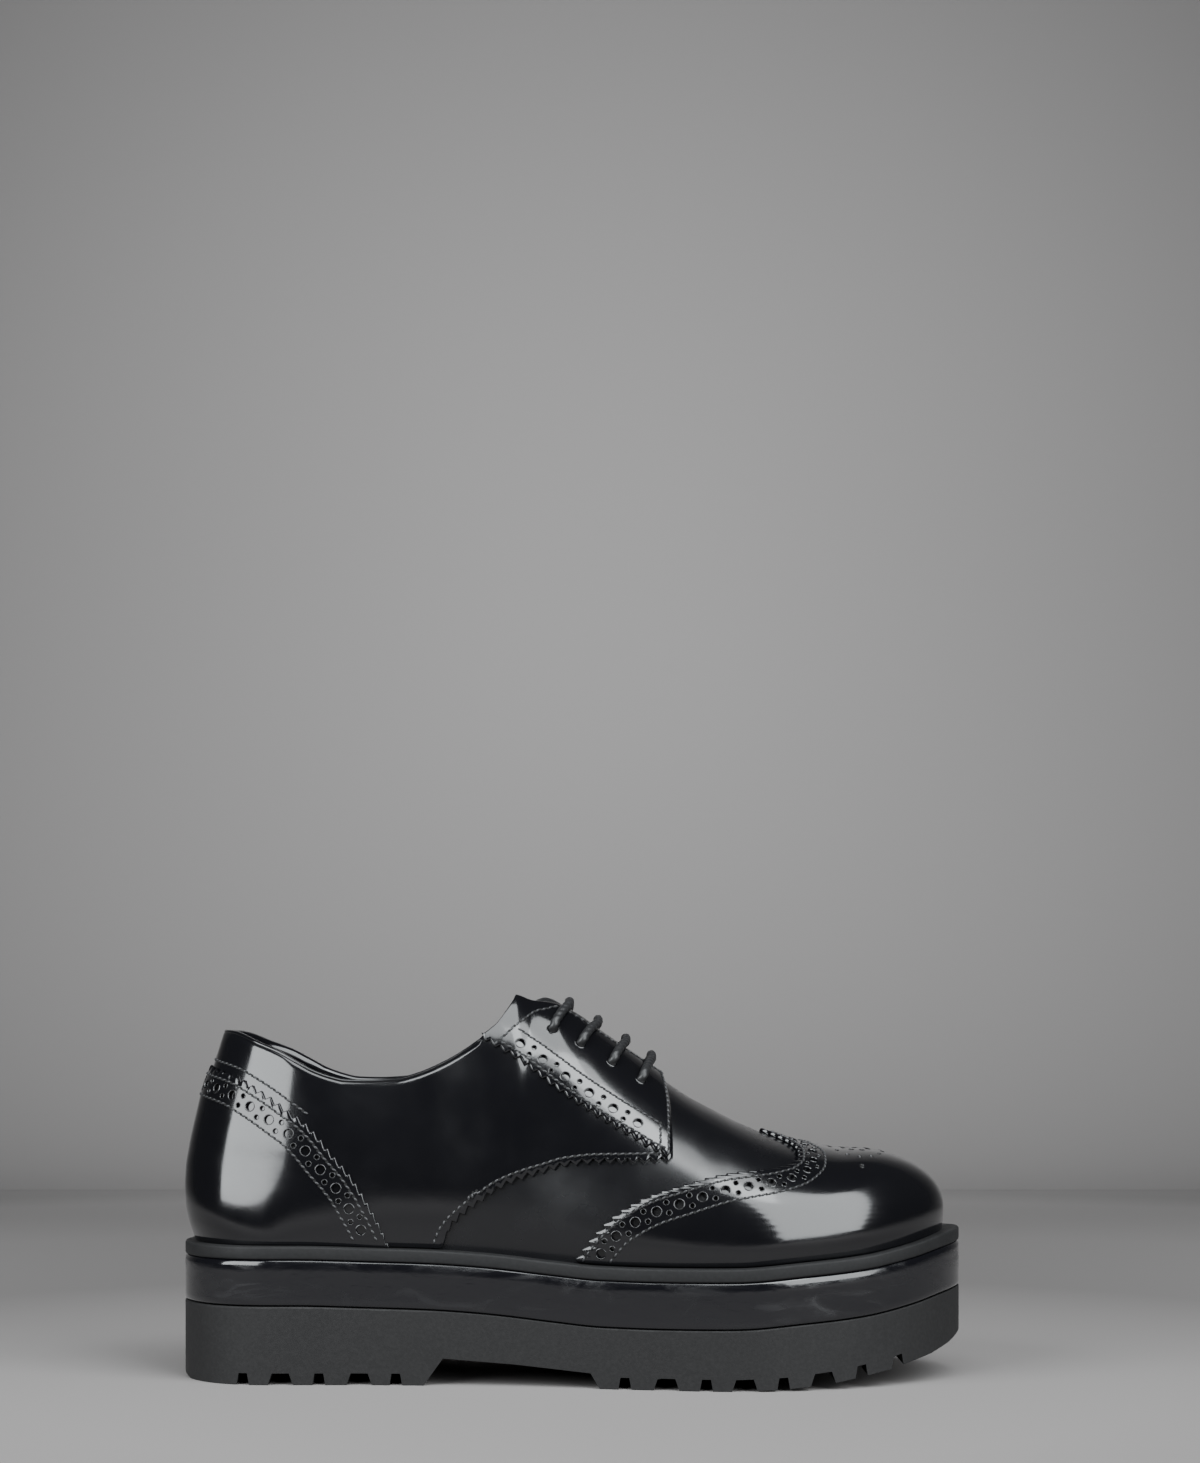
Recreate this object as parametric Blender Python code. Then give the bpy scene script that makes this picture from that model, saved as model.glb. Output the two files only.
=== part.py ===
"""Brogue shoe: a right platform derby with wing cap, winged counter and punched eyestays.

+X is the toe, -Y the outer (lateral) side, +Z up. The origin is under the middle of the sole, on the floor.
The form is worked out from the named sizes and from short tables, a row for each section. The tables hold
millimetres of a shoe drawn 265 long, 102 wide and 128.7 high, and are stretched to the named sizes.
"""

import math

import bmesh
import bpy
from mathutils import Vector

for old in list(bpy.data.objects):
    bpy.data.objects.remove(old, do_unlink=True)

MM = 0.001

# Driving sizes, in metres.
SOLE_LENGTH = 0.265
SOLE_WIDTH = 0.102
SHOE_HEIGHT = 0.1287
WALL = 0.0016
GAP = 0.0003
SEAT = 0.0005
QUARTER_SEAT = 0.0006
CAP_SEAT = 0.0009
SEAM = 0.0002
QUARTER_LEATHER = 0.0012
BAND_LEATHER = 0.0010
CAP_LEATHER = 0.0012
WELT_HEIGHT = 0.0040
MIDSOLE_HEIGHT = 0.0153
INSOLE_HEIGHT = 0.0035
TONGUE_THICKNESS = 0.0024
LACE_DIAMETER = 0.0026
TREAD_DEPTH = 0.0038

# The shoe as drawn in the tables, in millimetres.
DRAWN_LENGTH = 265.0
DRAWN_WIDTH = 102.0
DRAWN_HEIGHT = 128.7
STRETCH = (
    SOLE_LENGTH / DRAWN_LENGTH,
    SOLE_WIDTH / DRAWN_WIDTH,
    SHOE_HEIGHT / DRAWN_HEIGHT,
)

SOLE_BACK, SOLE_FRONT = -132.5, 132.5
BODY_BACK, BODY_FRONT = -130.3, 125.7
BODY_INSET = 5.0
HEEL_RADIUS, TOE_RADIUS = 30.0, 71.0
SOLE_HEEL_RADIUS, SOLE_TOE_RADIUS = 33.0, 75.0
HEEL_SHARE, TOE_SHARE = 0.19, 0.33
THROAT_FRONT = 31.5
CORNER = -20.0
TUCK = 0.05
TOE_TUCK = 1.1
TOE_DROP_START = 95.0
HEEL_LEAN_REACH = 62.0
CLEAR_WELT = 1.3

# Ends of the pieces that lie on the upper, as places along the shoe.
QUARTER_FRONT_LOW, QUARTER_FRONT_HIGH = 33.4, 29.5
EYESTAY_BACK, EYESTAY_FRONT = -26.5, 28.5
COUNTER_FRONT = -61.9
TONGUE_BACK, TONGUE_FRONT = -12.5, 40.0
TONGUE_HALF_WIDTH = 17.0
TONGUE_LIFT = 2.3
TONGUE_LIFT_REACH = 26.0

# Laces: how far a bar stands off the leather, rises between the facings and crosses behind its place.
LACE_BOW = 0.5
LACE_ARCH = 0.9
LACE_SLANT = 0.6

# Sole seen from above: place along the shoe, middle line (+ is the inner side), half width.
OUTLINE = (
    (-132.5, 0.0, 35.2),
    (-97.5, 0.0, 35.0),
    (-72.5, -0.4, 34.4),
    (-47.5, -2.0, 34.0),
    (-22.5, -3.4, 35.4),
    (2.5, -3.5, 39.5),
    (27.5, -2.5, 45.0),
    (49.5, -1.45, 49.5),
    (65.5, 0.0, 51.0),
    (82.5, 1.6, 51.0),
    (107.5, 3.6, 49.5),
    (132.5, 5.5, 47.0),
)

# Sole seen from the side: place, top of the welt.
WELT_TOP = (
    (-132.5, 45.6),
    (-92.5, 45.6),
    (-67.5, 45.0),
    (-48.5, 44.5),
    (-30.5, 43.5),
    (-5.5, 41.0),
    (9.5, 39.7),
    (30.0, 39.3),
    (53.5, 39.5),
    (74.5, 41.1),
    (96.5, 43.1),
    (112.5, 45.9),
    (124.5, 48.6),
    (132.5, 49.8),
)

# Underside of the outsole without its tread gaps: place, height.
UNDERSIDE = (
    (-132.5, 3.5),
    (-131.3, 1.2),
    (-128.5, 0.0),
    (-49.0, 0.0),
    (-42.6, 8.9),
    (-20.0, 7.4),
    (6.0, 5.0),
    (9.0, 0.0),
    (54.0, 0.0),
    (70.5, 0.7),
    (87.5, 2.5),
    (104.5, 5.5),
    (119.5, 9.2),
    (127.0, 12.0),
    (132.5, 15.0),
)

# Tread gaps across the sole: middle, width at the open side.
TREAD_GAPS = (
    (-108.8, 4.2),
    (-96.3, 8.3),
    (-83.6, 4.2),
    (-70.3, 8.3),
    (-58.2, 4.2),
    (17.2, 4.2),
    (30.7, 8.3),
    (43.6, 4.2),
    (56.0, 8.3),
    (68.6, 4.2),
    (81.7, 8.3),
    (94.6, 4.2),
    (107.2, 4.2),
)

# Sections of the last: place, height of the widest line above the welt, crest (above the open
# collar it is the height the walls lean towards), fullness of the sides, fullness of the top,
# shift of the ridge to the inner side.
SECTIONS = (
    (-131.0, 19.4, 142.0, 2.20, 2.00, 0.0),
    (-110.0, 18.5, 138.0, 2.20, 2.00, 0.0),
    (-90.0, 17.5, 133.0, 2.30, 2.00, 0.3),
    (-75.0, 17.0, 130.0, 2.30, 2.00, 0.8),
    (-60.0, 17.0, 130.5, 2.30, 2.00, 1.4),
    (-45.0, 17.0, 132.5, 2.30, 2.00, 2.0),
    (-30.0, 17.0, 133.5, 2.25, 2.00, 2.6),
    (-20.0, 17.0, 131.5, 2.20, 2.00, 3.0),
    (-14.6, 16.8, 129.2, 2.05, 2.00, 3.1),
    (-6.0, 16.5, 126.0, 1.95, 2.00, 3.2),
    (0.6, 16.0, 122.0, 1.95, 2.00, 3.3),
    (9.1, 15.5, 115.4, 1.95, 2.00, 3.4),
    (18.6, 15.0, 108.6, 1.95, 2.00, 3.4),
    (27.9, 14.5, 102.0, 1.95, 2.00, 3.3),
    (38.9, 14.0, 94.4, 1.95, 2.00, 3.0),
    (49.2, 13.5, 88.9, 1.95, 2.00, 2.6),
    (57.1, 13.0, 84.9, 2.00, 2.00, 2.2),
    (67.9, 12.0, 80.6, 2.10, 2.00, 1.6),
    (79.8, 11.0, 77.2, 2.18, 2.02, 1.0),
    (92.4, 10.0, 75.2, 2.26, 2.12, 0.5),
    (104.0, 9.0, 75.0, 2.30, 2.20, 0.2),
    (125.7, 7.6, 74.6, 2.30, 2.20, 0.0),
)

# Back of the heel: height, how far it leans forward of its furthest point.
HEEL_LEAN = (
    (41.0, 5.6),
    (45.6, 3.9),
    (49.4, 2.5),
    (53.4, 1.2),
    (58.2, 0.3),
    (65.0, 0.0),
    (70.4, 0.2),
    (75.1, 0.9),
    (82.0, 2.2),
    (88.0, 3.6),
    (94.8, 5.2),
    (100.9, 7.2),
    (107.0, 9.3),
    (115.8, 12.0),
    (119.0, 13.0),
)

# Collar seen from the side: place, height of its edge.
COLLAR = (
    (-119.0, 117.2),
    (-114.0, 116.6),
    (-105.1, 113.0),
    (-97.9, 110.0),
    (-92.5, 107.0),
    (-86.5, 103.7),
    (-80.5, 101.6),
    (-75.8, 100.6),
    (-68.4, 100.4),
    (-59.1, 100.9),
    (-51.8, 102.7),
    (-41.9, 107.0),
    (-35.5, 110.8),
    (-31.0, 114.0),
    (-25.6, 118.3),
    (-22.5, 122.6),
    (-20.0, 126.4),
    (-10.0, 142.0),
)

# Throat seen from above: place, half width between the facings.
THROAT = (
    (-20.0, 12.5),
    (-14.6, 11.4),
    (-6.0, 8.2),
    (0.6, 7.5),
    (9.1, 7.0),
    (18.6, 6.2),
    (27.9, 5.2),
    (31.5, 4.8),
)

# Edges of the panels seen from the side: place, height.
QUARTER_LOW = (
    (-43.2, 45.3),
    (-41.0, 49.8),
    (-35.8, 55.4),
    (-29.8, 59.6),
    (-23.6, 63.2),
    (-17.4, 66.0),
    (-9.3, 68.6),
    (-1.7, 70.9),
    (8.3, 71.9),
    (19.1, 72.2),
    (33.0, 72.4),
)
EYESTAY_LOW = (
    (-28.2, 112.5),
    (-19.3, 106.7),
    (-11.2, 100.8),
    (-3.3, 94.9),
    (4.4, 89.6),
    (12.4, 84.4),
    (20.4, 79.7),
    (26.9, 75.8),
    (30.0, 74.6),
)
COUNTER_TOP = (
    (-125.0, 105.2),
    (-112.0, 101.4),
    (-105.3, 97.8),
    (-99.9, 94.2),
    (-94.6, 90.3),
    (-89.5, 86.5),
    (-84.8, 81.8),
    (-79.5, 75.2),
    (-74.0, 68.8),
    (-67.9, 58.7),
    (-63.9, 51.9),
    (-60.8, 45.2),
)

# Wing cap: share of the way up from the welt to the crest, place of its edge.
CAP_EDGE = (
    (0.00, 0.0),
    (0.08, 5.2),
    (0.15, 10.7),
    (0.21, 16.9),
    (0.27, 25.1),
    (0.33, 35.9),
    (0.41, 50.4),
    (0.48, 65.8),
    (0.53, 71.5),
    (0.60, 74.2),
    (0.70, 74.6),
    (0.82, 72.5),
    (0.92, 68.0),
    (1.00, 62.5),
)

# Lace bars: place of the crossing, place of the eyelets, height of the eyelets.
LACE_BARS = (
    (-1.6, -7.3, 115.7),
    (7.4, 1.7, 111.0),
    (17.0, 12.1, 104.6),
    (25.6, 21.8, 98.6),
)


def curve(rows, column=1):
    """A smooth line without overshoot through one column of a table, held level past its ends."""
    xs = [row[0] for row in rows]
    ys = [row[column] for row in rows]
    steps = [b - a for a, b in zip(xs, xs[1:])]
    rises = [(b - a) / h for a, b, h in zip(ys, ys[1:], steps)]
    slopes = [rises[0]]
    for left, right in zip(rises, rises[1:]):
        slopes.append(0.0 if left * right <= 0 else 2 * left * right / (left + right))
    slopes.append(rises[-1])

    def at(x):
        if x <= xs[0]:
            return ys[0]
        if x >= xs[-1]:
            return ys[-1]
        i = max(k for k in range(len(steps)) if xs[k] <= x)
        h = steps[i]
        t = (x - xs[i]) / h
        return (
            ys[i] * (1 + 2 * t) * (1 - t) ** 2
            + ys[i + 1] * t * t * (3 - 2 * t)
            + h * slopes[i] * t * (1 - t) ** 2
            + h * slopes[i + 1] * t * t * (t - 1)
        )

    return at


def straight(rows):
    """Straight lines through a two-column table."""

    def at(x):
        for (x0, y0), (x1, y1) in zip(rows, rows[1:]):
            if x <= x1:
                return y0 + (y1 - y0) * max(0.0, x - x0) / (x1 - x0)
        return rows[-1][1]

    return at


def solve(function, low, high, rounds=34):
    """Where a rising function passes zero between two values."""
    for _ in range(rounds):
        middle = (low + high) / 2
        if function(middle) < 0:
            low = middle
        else:
            high = middle
    return (low + high) / 2


def ease(t):
    t = min(1.0, max(0.0, t))
    return t * t * (3 - 2 * t)


def rounding(place, back, front, heel_radius, toe_radius):
    """How far the half width has closed towards the heel or the toe, from 1 to 0."""
    if place < back + heel_radius:
        t = (back + heel_radius - place) / heel_radius
        return math.sqrt(max(0.0, 1 - min(1.0, t) ** 2.2))
    if place > front - toe_radius:
        t = (place - front + toe_radius) / toe_radius
        return math.sqrt(max(0.0, 1 - min(1.0, t) ** 2.35))
    return 1.0


middle_line = curve(OUTLINE, 1)
half_width = curve(OUTLINE, 2)
welt_top = curve(WELT_TOP)
underside = straight(UNDERSIDE)
bulge = curve(SECTIONS, 1)
crest_line = curve(SECTIONS, 2)
side_power = curve(SECTIONS, 3)
top_power = curve(SECTIONS, 4)
ridge_shift = curve(SECTIONS, 5)
heel_lean = curve(HEEL_LEAN)
collar = curve(COLLAR)
throat = curve(THROAT)


def place_at(t, back=BODY_BACK, front=BODY_FRONT, heel_radius=HEEL_RADIUS, toe_radius=TOE_RADIUS):
    """Stations from heel (0) to toe (1), even around the heel and the toe."""
    if t < HEEL_SHARE:
        return back + heel_radius * (1 - math.cos(t / HEEL_SHARE * math.pi / 2))
    if t > 1 - TOE_SHARE:
        return front - toe_radius * (1 - math.cos((1 - t) / TOE_SHARE * math.pi / 2))
    k = (t - HEEL_SHARE) / (1 - TOE_SHARE - HEEL_SHARE)
    return back + heel_radius + k * (front - toe_radius - back - heel_radius)


def denser(share, middle, amount):
    """A share from 0 to 1, drawn closer together around its middle value."""
    turn = 2 * math.pi
    return share - amount * (math.sin(turn * (share - middle)) + math.sin(turn * middle))


def station_at(place):
    return solve(lambda t: place_at(t) - place, 0.0, 1.0)


def drawn_point(t, rise, side):
    """A point of the upper's outer face in drawn millimetres.

    rise runs from -1 at the bottom edge, by 0 at the widest line, to 1 at the crest; side is -1 on
    the outer side and 1 on the inner one.
    """
    if t < 0:
        t, side = -t, -side
    if t > 1:
        t, side = 2 - t, -side
    if rise > 1:
        rise, side = 2 - rise, -side
    place = place_at(t)
    closing = rounding(place, BODY_BACK, BODY_FRONT, HEEL_RADIUS, TOE_RADIUS)
    shift = ridge_shift(place) * closing
    ridge = middle_line(place) + shift
    half = (half_width(place) - BODY_INSET) * closing - side * shift
    foot = welt_top(place) - (WELT_HEIGHT - GAP) / STRETCH[2]
    widest = welt_top(place) + bulge(place)
    nose = max(0.0, (place - TOE_DROP_START) / (BODY_FRONT - TOE_DROP_START))
    crest = widest + (crest_line(place) - widest) * math.sqrt(max(0.0, 1 - nose**2.4))
    if rise < 0:
        y = ridge + side * half * (1 - TUCK * rise * rise)
        z = widest + rise * (widest - foot)
        place -= TOE_TUCK * rise * rise * ease((place - 80.0) / 45.0)
    else:
        angle = rise * math.pi / 2
        y = ridge + side * half * math.cos(angle) ** (2 / side_power(place))
        z = widest + (crest - widest) * math.sin(angle) ** (2 / top_power(place))
    lean = heel_lean(z) * (1 - ease((place - BODY_BACK) / HEEL_LEAN_REACH))
    return Vector((place + lean, y, z))


def body_point(t, rise, side, out=0.0):
    """A point of the upper's outer face in metres, or of a face at a distance out from it."""

    def real(t, rise):
        p = drawn_point(t, rise, side)
        return Vector((p.x * STRETCH[0], p.y * STRETCH[1], p.z * STRETCH[2]))

    here = real(t, rise)
    if not out:
        return here
    step = 0.002
    along = real(t + step, rise) - real(t - step, rise)
    up = real(t, rise + step) - real(t, max(-1.0, rise - step))
    across = along.cross(up) * -side
    if across.length < 1e-12:
        across = Vector((1.0, 0.0, 0.0))
    return here + across.normalized() * out


def rise_at_height(t, side, height_of):
    """Where a column meets a line given as height over place."""

    def over(rise):
        p = drawn_point(t, rise, side)
        return p.z - height_of(p.x)

    return solve(over, -1.0, 1.0)


def collar_rise(t, side):
    """Upper edge of a column: the collar, then the facing's edge, then the crest."""
    place = place_at(t)
    if place >= THROAT_FRONT:
        return 1.0

    def inside(rise):
        p = drawn_point(t, rise, side)
        middle = middle_line(place) + ridge_shift(place)
        return throat(place) - abs(p.y - middle)

    if place < CORNER:
        return rise_at_height(t, side, collar)
    return solve(inside, 0.0, 1.0)


def side_point(place, height, side):
    """(station, rise) of a point given by its place and height in the side view."""
    base = place
    rise = 0.0
    for _ in range(12):
        t = station_at(base)
        rise = rise_at_height(t, side, lambda _: height)
        base = min(BODY_FRONT, max(BODY_BACK, base + place - drawn_point(t, rise, side).x))
    return station_at(base), rise


def column(low, high, side, count, out):
    """Evenly spaced points from one (station, rise) to another."""
    fine = 28
    places = [
        (low[0] + (high[0] - low[0]) * k / fine, low[1] + (high[1] - low[1]) * k / fine)
        for k in range(fine + 1)
    ]
    points = [body_point(t, rise, side) for t, rise in places]
    run = [0.0]
    for a, b in zip(points, points[1:]):
        run.append(run[-1] + (b - a).length)
    found = []
    for k in range(count + 1):
        want = run[-1] * k / count
        i = max(i for i in range(fine) if run[i] <= want + 1e-12)
        share = (want - run[i]) / max(1e-9, run[i + 1] - run[i])
        share = min(1.0, share)
        t = places[i][0] + (places[i + 1][0] - places[i][0]) * share
        rise = places[i][1] + (places[i + 1][1] - places[i][1]) * share
        found.append(body_point(t, rise, side, out))
    return found


def material(name, colour, roughness):
    made = bpy.data.materials.new(name)
    made.use_nodes = True
    shader = made.node_tree.nodes["Principled BSDF"]
    shader.inputs["Base Color"].default_value = (*colour, 1.0)
    shader.inputs["Roughness"].default_value = roughness
    shader.inputs["Metallic"].default_value = 0.0
    return made


def add(name, bm, colour, roughness):
    mesh = bpy.data.meshes.new(name)
    bm.to_mesh(mesh)
    bm.free()
    made = bpy.data.objects.new(name, mesh)
    bpy.context.scene.collection.objects.link(made)
    mesh.materials.append(material(name, colour, roughness))
    mesh.shade_smooth()
    mesh.set_sharp_from_angle(angle=math.radians(40))
    return made


def sheet(bm, columns):
    """A grid of faces over columns of points."""
    before = set(bm.verts)
    bmesh.ops.create_grid(bm, x_segments=len(columns) - 1, y_segments=len(columns[0]) - 1, size=0.5)
    nu, nv = len(columns) - 1, len(columns[0]) - 1
    for vertex in set(bm.verts) - before:
        i = round((vertex.co.x + 0.5) * nu)
        j = round((vertex.co.y + 0.5) * nv)
        vertex.co = columns[i][j]


def face_outwards(bm):
    """Turns the faces of an open sheet away from the shoe's middle line."""
    bm.normal_update()
    total = 0.0
    for face in bm.faces:
        centre = face.calc_center_median()
        middle = Vector((min(0.06, max(-0.09, centre.x)), 0.0, 0.055))
        total += face.normal.dot(centre - middle) * face.calc_area()
    if total < 0:
        bmesh.ops.reverse_faces(bm, faces=bm.faces[:])


def leather(name, sheets, thickness, outwards, colour, roughness):
    """Sheets joined into one piece and given a thickness."""
    bm = bmesh.new()
    for columns in sheets:
        sheet(bm, columns)
    bmesh.ops.remove_doubles(bm, verts=bm.verts[:], dist=2e-6)
    bmesh.ops.dissolve_degenerate(bm, edges=bm.edges[:], dist=1e-6)
    bmesh.ops.recalc_face_normals(bm, faces=bm.faces[:])
    face_outwards(bm)
    made = add(name, bm, colour, roughness)
    solidify = made.modifiers.new("thickness", "SOLIDIFY")
    solidify.thickness = thickness
    solidify.offset = 1.0 if outwards else -1.0
    solidify.use_even_offset = True
    solidify.use_rim = True
    return made


BLACK = (0.012, 0.012, 0.015)
SIDES = ((-1, "lateral"), (1, "medial"))


def make_upper(stations=42, rows=10):
    sheets = []
    for side, _ in SIDES:
        columns = []
        for i in range(stations + 1):
            t = denser(i / stations, 0.43, 0.045)
            columns.append(column((t, -1.0), (t, collar_rise(t, side)), side, rows, 0.0))
        sheets.append(columns)
    return leather("upper", sheets, WALL, False, BLACK, 0.18)


def welt_rise(t, side, above):
    """Rise of a point a little above the welt's top."""
    return rise_at_height(t, side, lambda x: welt_top(x) + above)


def panel(low_line, high_line, side, count, rows, out):
    """Columns between two lines, each a function of the share along the panel."""
    return [
        column(low_line(k / count), high_line(k / count), side, rows, out)
        for k in range(count + 1)
    ]


def make_quarter(side, name):
    quarter_low = curve(QUARTER_LOW)
    first = station_at(BODY_BACK + 0.5 * (SEAM / MM) ** 2 / HEEL_RADIUS)

    def low(share):
        t = first + (station_at(QUARTER_FRONT_LOW) - first) * denser(share, 0.72, 0.06)
        place = place_at(t)
        if place < QUARTER_LOW[0][0] + 1.0:
            return t, welt_rise(t, side, CLEAR_WELT)
        return t, rise_at_height(t, side, lambda x: max(quarter_low(x), welt_top(x) + CLEAR_WELT))

    def high(share):
        t = first + (station_at(QUARTER_FRONT_HIGH) - first) * denser(share, 0.72, 0.06)
        return t, collar_rise(t, side)

    return leather(name, [panel(low, high, side, 29, 7, QUARTER_SEAT)], QUARTER_LEATHER, True, BLACK, 0.16)


def make_eyestay(side, name):
    eyestay_low = curve(EYESTAY_LOW)
    out = QUARTER_SEAT + QUARTER_LEATHER + SEAT
    first, last = station_at(EYESTAY_BACK), station_at(EYESTAY_FRONT)

    def low(share):
        t = first + (last - first) * share
        return t, rise_at_height(t, side, eyestay_low)

    def high(share):
        t = first + (last - 0.004 - first) * share
        return t, collar_rise(t, side)

    return leather(name, [panel(low, high, side, 14, 6, out)], BAND_LEATHER, True, BLACK, 0.15)


def make_counter():
    counter_top = curve(COUNTER_TOP)
    out = QUARTER_SEAT + QUARTER_LEATHER + SEAT
    last = station_at(COUNTER_FRONT)
    sheets = []
    for side, _ in SIDES:

        def low(share, side=side):
            t = last * share
            return t, welt_rise(t, side, CLEAR_WELT)

        def high(share, side=side):
            t = last * share
            return t, rise_at_height(t, side, counter_top)

        sheets.append(panel(low, high, side, 15, 6, out))
    return leather("heel_counter", sheets, BAND_LEATHER, True, BLACK, 0.15)


def make_cap(rows=11, stations=16):
    """The wing cap: rows from the welt to the crest, each from its place on the W edge to the toe."""
    cap_edge = curve(CAP_EDGE)
    sheets = []
    for side, _ in SIDES:
        lines = []
        for j in range(rows + 1):
            share = j / rows
            start = station_at(cap_edge(share))
            line = []
            for i in range(stations + 1):
                t = start + (1 - start) * i / stations
                low = welt_rise(t, side, CLEAR_WELT)
                line.append(column((t, low), (t, 1.0), side, rows, CAP_SEAT)[j])
            lines.append(line)
        sheets.append(lines)
    return leather("toe_cap", sheets, CAP_LEATHER, True, BLACK, 0.14)


def make_tongue():
    """Under the facings: its middle lifts a little between them at the top."""
    stations, across = 11, 10
    columns = []
    for i in range(stations + 1):
        past = (TONGUE_FRONT - TONGUE_BACK) * i / stations
        place = TONGUE_BACK + past
        t = station_at(place)
        rounded = 1 - 0.35 * (1 - ease(past / 10.0))
        lift = TONGUE_LIFT * MM * math.sin(math.pi * ease(past / TONGUE_LIFT_REACH))
        line = []
        for j in range(across + 1):
            v = -1 + 2 * j / across
            side = -1 if v <= 0 else 1
            y = abs(v) * TONGUE_HALF_WIDTH * rounded

            def reach(rise, y=y, side=side, t=t, place=place):
                p = drawn_point(t, rise, side)
                return y - abs(p.y - middle_line(place) - ridge_shift(place))

            rise = solve(reach, 0.0, 1.0)
            middle = max(0.0, 1 - (y / 6.0) ** 2)
            out = -(WALL + 3.0 * GAP + TONGUE_THICKNESS) + lift * middle
            line.append(body_point(t, rise, side, out))
        columns.append(line)
    return leather("tongue", [columns], TONGUE_THICKNESS, True, BLACK, 0.3)


def make_laces():
    """Four bars, each from eyelet to eyelet over the edges of the facings."""
    top_layers = QUARTER_SEAT + SEAT + QUARTER_LEATHER + BAND_LEATHER
    radius = LACE_DIAMETER / 2
    for number, (crossing, eyelet, height) in enumerate(LACE_BARS, 1):
        line = []
        for side in (-1, 1):
            t_eyelet, rise_eyelet = side_point(eyelet, height, side)
            t_edge = station_at(crossing - LACE_SLANT)
            rise_edge = collar_rise(t_edge, side)
            leg = []
            for k in range(5):
                share = k / 4
                t = t_eyelet + (t_edge - t_eyelet) * share
                rise = rise_eyelet + (rise_edge - 0.004 - rise_eyelet) * share
                out = top_layers + GAP + radius + LACE_BOW * MM * math.sin(math.pi * share)
                leg.append(body_point(t, rise, side, out))
            line += leg if side < 0 else leg[::-1]
        ends = [line[4], line[5]]
        arch = []
        for k in (1, 2, 3):
            share = k / 4
            p = ends[0].lerp(ends[1], share)
            p.z += LACE_ARCH * MM * math.sin(math.pi * share)
            arch.append(p)
        line = line[:5] + arch + line[5:]
        path = bpy.data.curves.new(f"lace_{number}", "CURVE")
        path.dimensions = "3D"
        path.bevel_depth = radius
        path.bevel_resolution = 1
        path.use_fill_caps = True
        spline = path.splines.new("POLY")
        spline.points.add(len(line) - 1)
        for point, co in zip(spline.points, line):
            point.co = (*co, 1.0)
        made = bpy.data.objects.new(f"lace_{number}", path)
        path.materials.append(material(f"lace_{number}", (0.02, 0.02, 0.02), 0.45))
        bpy.context.scene.collection.objects.link(made)


def sole_place(t):
    return place_at(t, SOLE_BACK, SOLE_FRONT, SOLE_HEEL_RADIUS, SOLE_TOE_RADIUS)


def sole_places(count):
    return [sole_place(k / count) for k in range(count + 1)]


def layered(name, places, levels, colour, roughness, hole=None):
    """A sole layer: rings of points at several levels, closed above and below.

    Each level is (inset in drawn millimetres, function that gives its height in metres at a place).
    """
    bm = bmesh.new()
    kx, ky, _ = STRETCH
    rings = []
    for inset, height in levels:
        back, front = SOLE_BACK + inset, SOLE_FRONT - inset
        left, right = [], []
        for place in places:
            share = (place - SOLE_BACK) / (SOLE_FRONT - SOLE_BACK)
            moved = back + share * (front - back)
            closing = rounding(place, SOLE_BACK, SOLE_FRONT, SOLE_HEEL_RADIUS, SOLE_TOE_RADIUS)
            half = (half_width(place) - inset) * closing
            middle = middle_line(place)
            z = height(moved)
            left.append(bm.verts.new((moved * kx, (middle - half) * ky, z)))
            if closing > 0:
                right.append(bm.verts.new((moved * kx, (middle + half) * ky, z)))
            else:
                right.append(left[-1])
        rings.append((left, right))
    last = len(places) - 1
    for (left0, right0), (left1, right1) in zip(rings, rings[1:]):
        for i in range(last):
            bm.faces.new((left0[i], left0[i + 1], left1[i + 1], left1[i]))
            bm.faces.new((right0[i + 1], right0[i], right1[i], right1[i + 1]))
    for (left, right), up in ((rings[0], False), (rings[-1], True)):
        for i in range(last):
            corners = [left[i], left[i + 1], right[i + 1], right[i]]
            kept = [v for k, v in enumerate(corners) if v not in corners[:k]]
            bm.faces.new(kept if up else kept[::-1])
    bmesh.ops.recalc_face_normals(bm, faces=bm.faces[:])
    return add(name, bm, colour, roughness)


def midsole_top(place):
    return welt_top(place) * STRETCH[2] - WELT_HEIGHT - GAP


def outsole_top(place):
    return midsole_top(place) - MIDSOLE_HEIGHT - GAP


def tread(place):
    """Height of the underside with the gaps between its lugs."""
    low = underside(place) * STRETCH[2]
    for middle, width in TREAD_GAPS:
        reach = abs(place - middle)
        slope = min(1.0, max(0.0, (width / 2 - reach) / (width * 0.16)))
        low += TREAD_DEPTH * slope
    return low


def make_outsole():
    marks = set(sole_places(34)) | {row[0] for row in UNDERSIDE}
    for middle, width in TREAD_GAPS:
        for side in (-1, 1):
            marks |= {middle + side * width / 2, middle + side * width * 0.34}
    places = []
    for mark in sorted(marks):
        if places and mark - places[-1] < 0.45 and mark < SOLE_FRONT - 0.45:
            continue
        places.append(mark)

    def part_way(share):
        return lambda x: tread(x) + (outsole_top(x) - tread(x)) * share

    levels = ((0.0, tread), (0.0, part_way(0.5)), (0.0, outsole_top))
    layered("outsole", places, levels, (0.035, 0.035, 0.038), 0.7)


def make_midsole():
    def at(share):
        return lambda x: outsole_top(x) + GAP + MIDSOLE_HEIGHT * share

    levels = (
        (0.7, at(0.0)),
        (0.0, at(0.06)),
        (0.0, at(0.88)),
        (0.5, at(0.97)),
        (1.2, at(1.0)),
    )
    layered("midsole", sole_places(32), levels, (0.012, 0.012, 0.015), 0.15)


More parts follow.
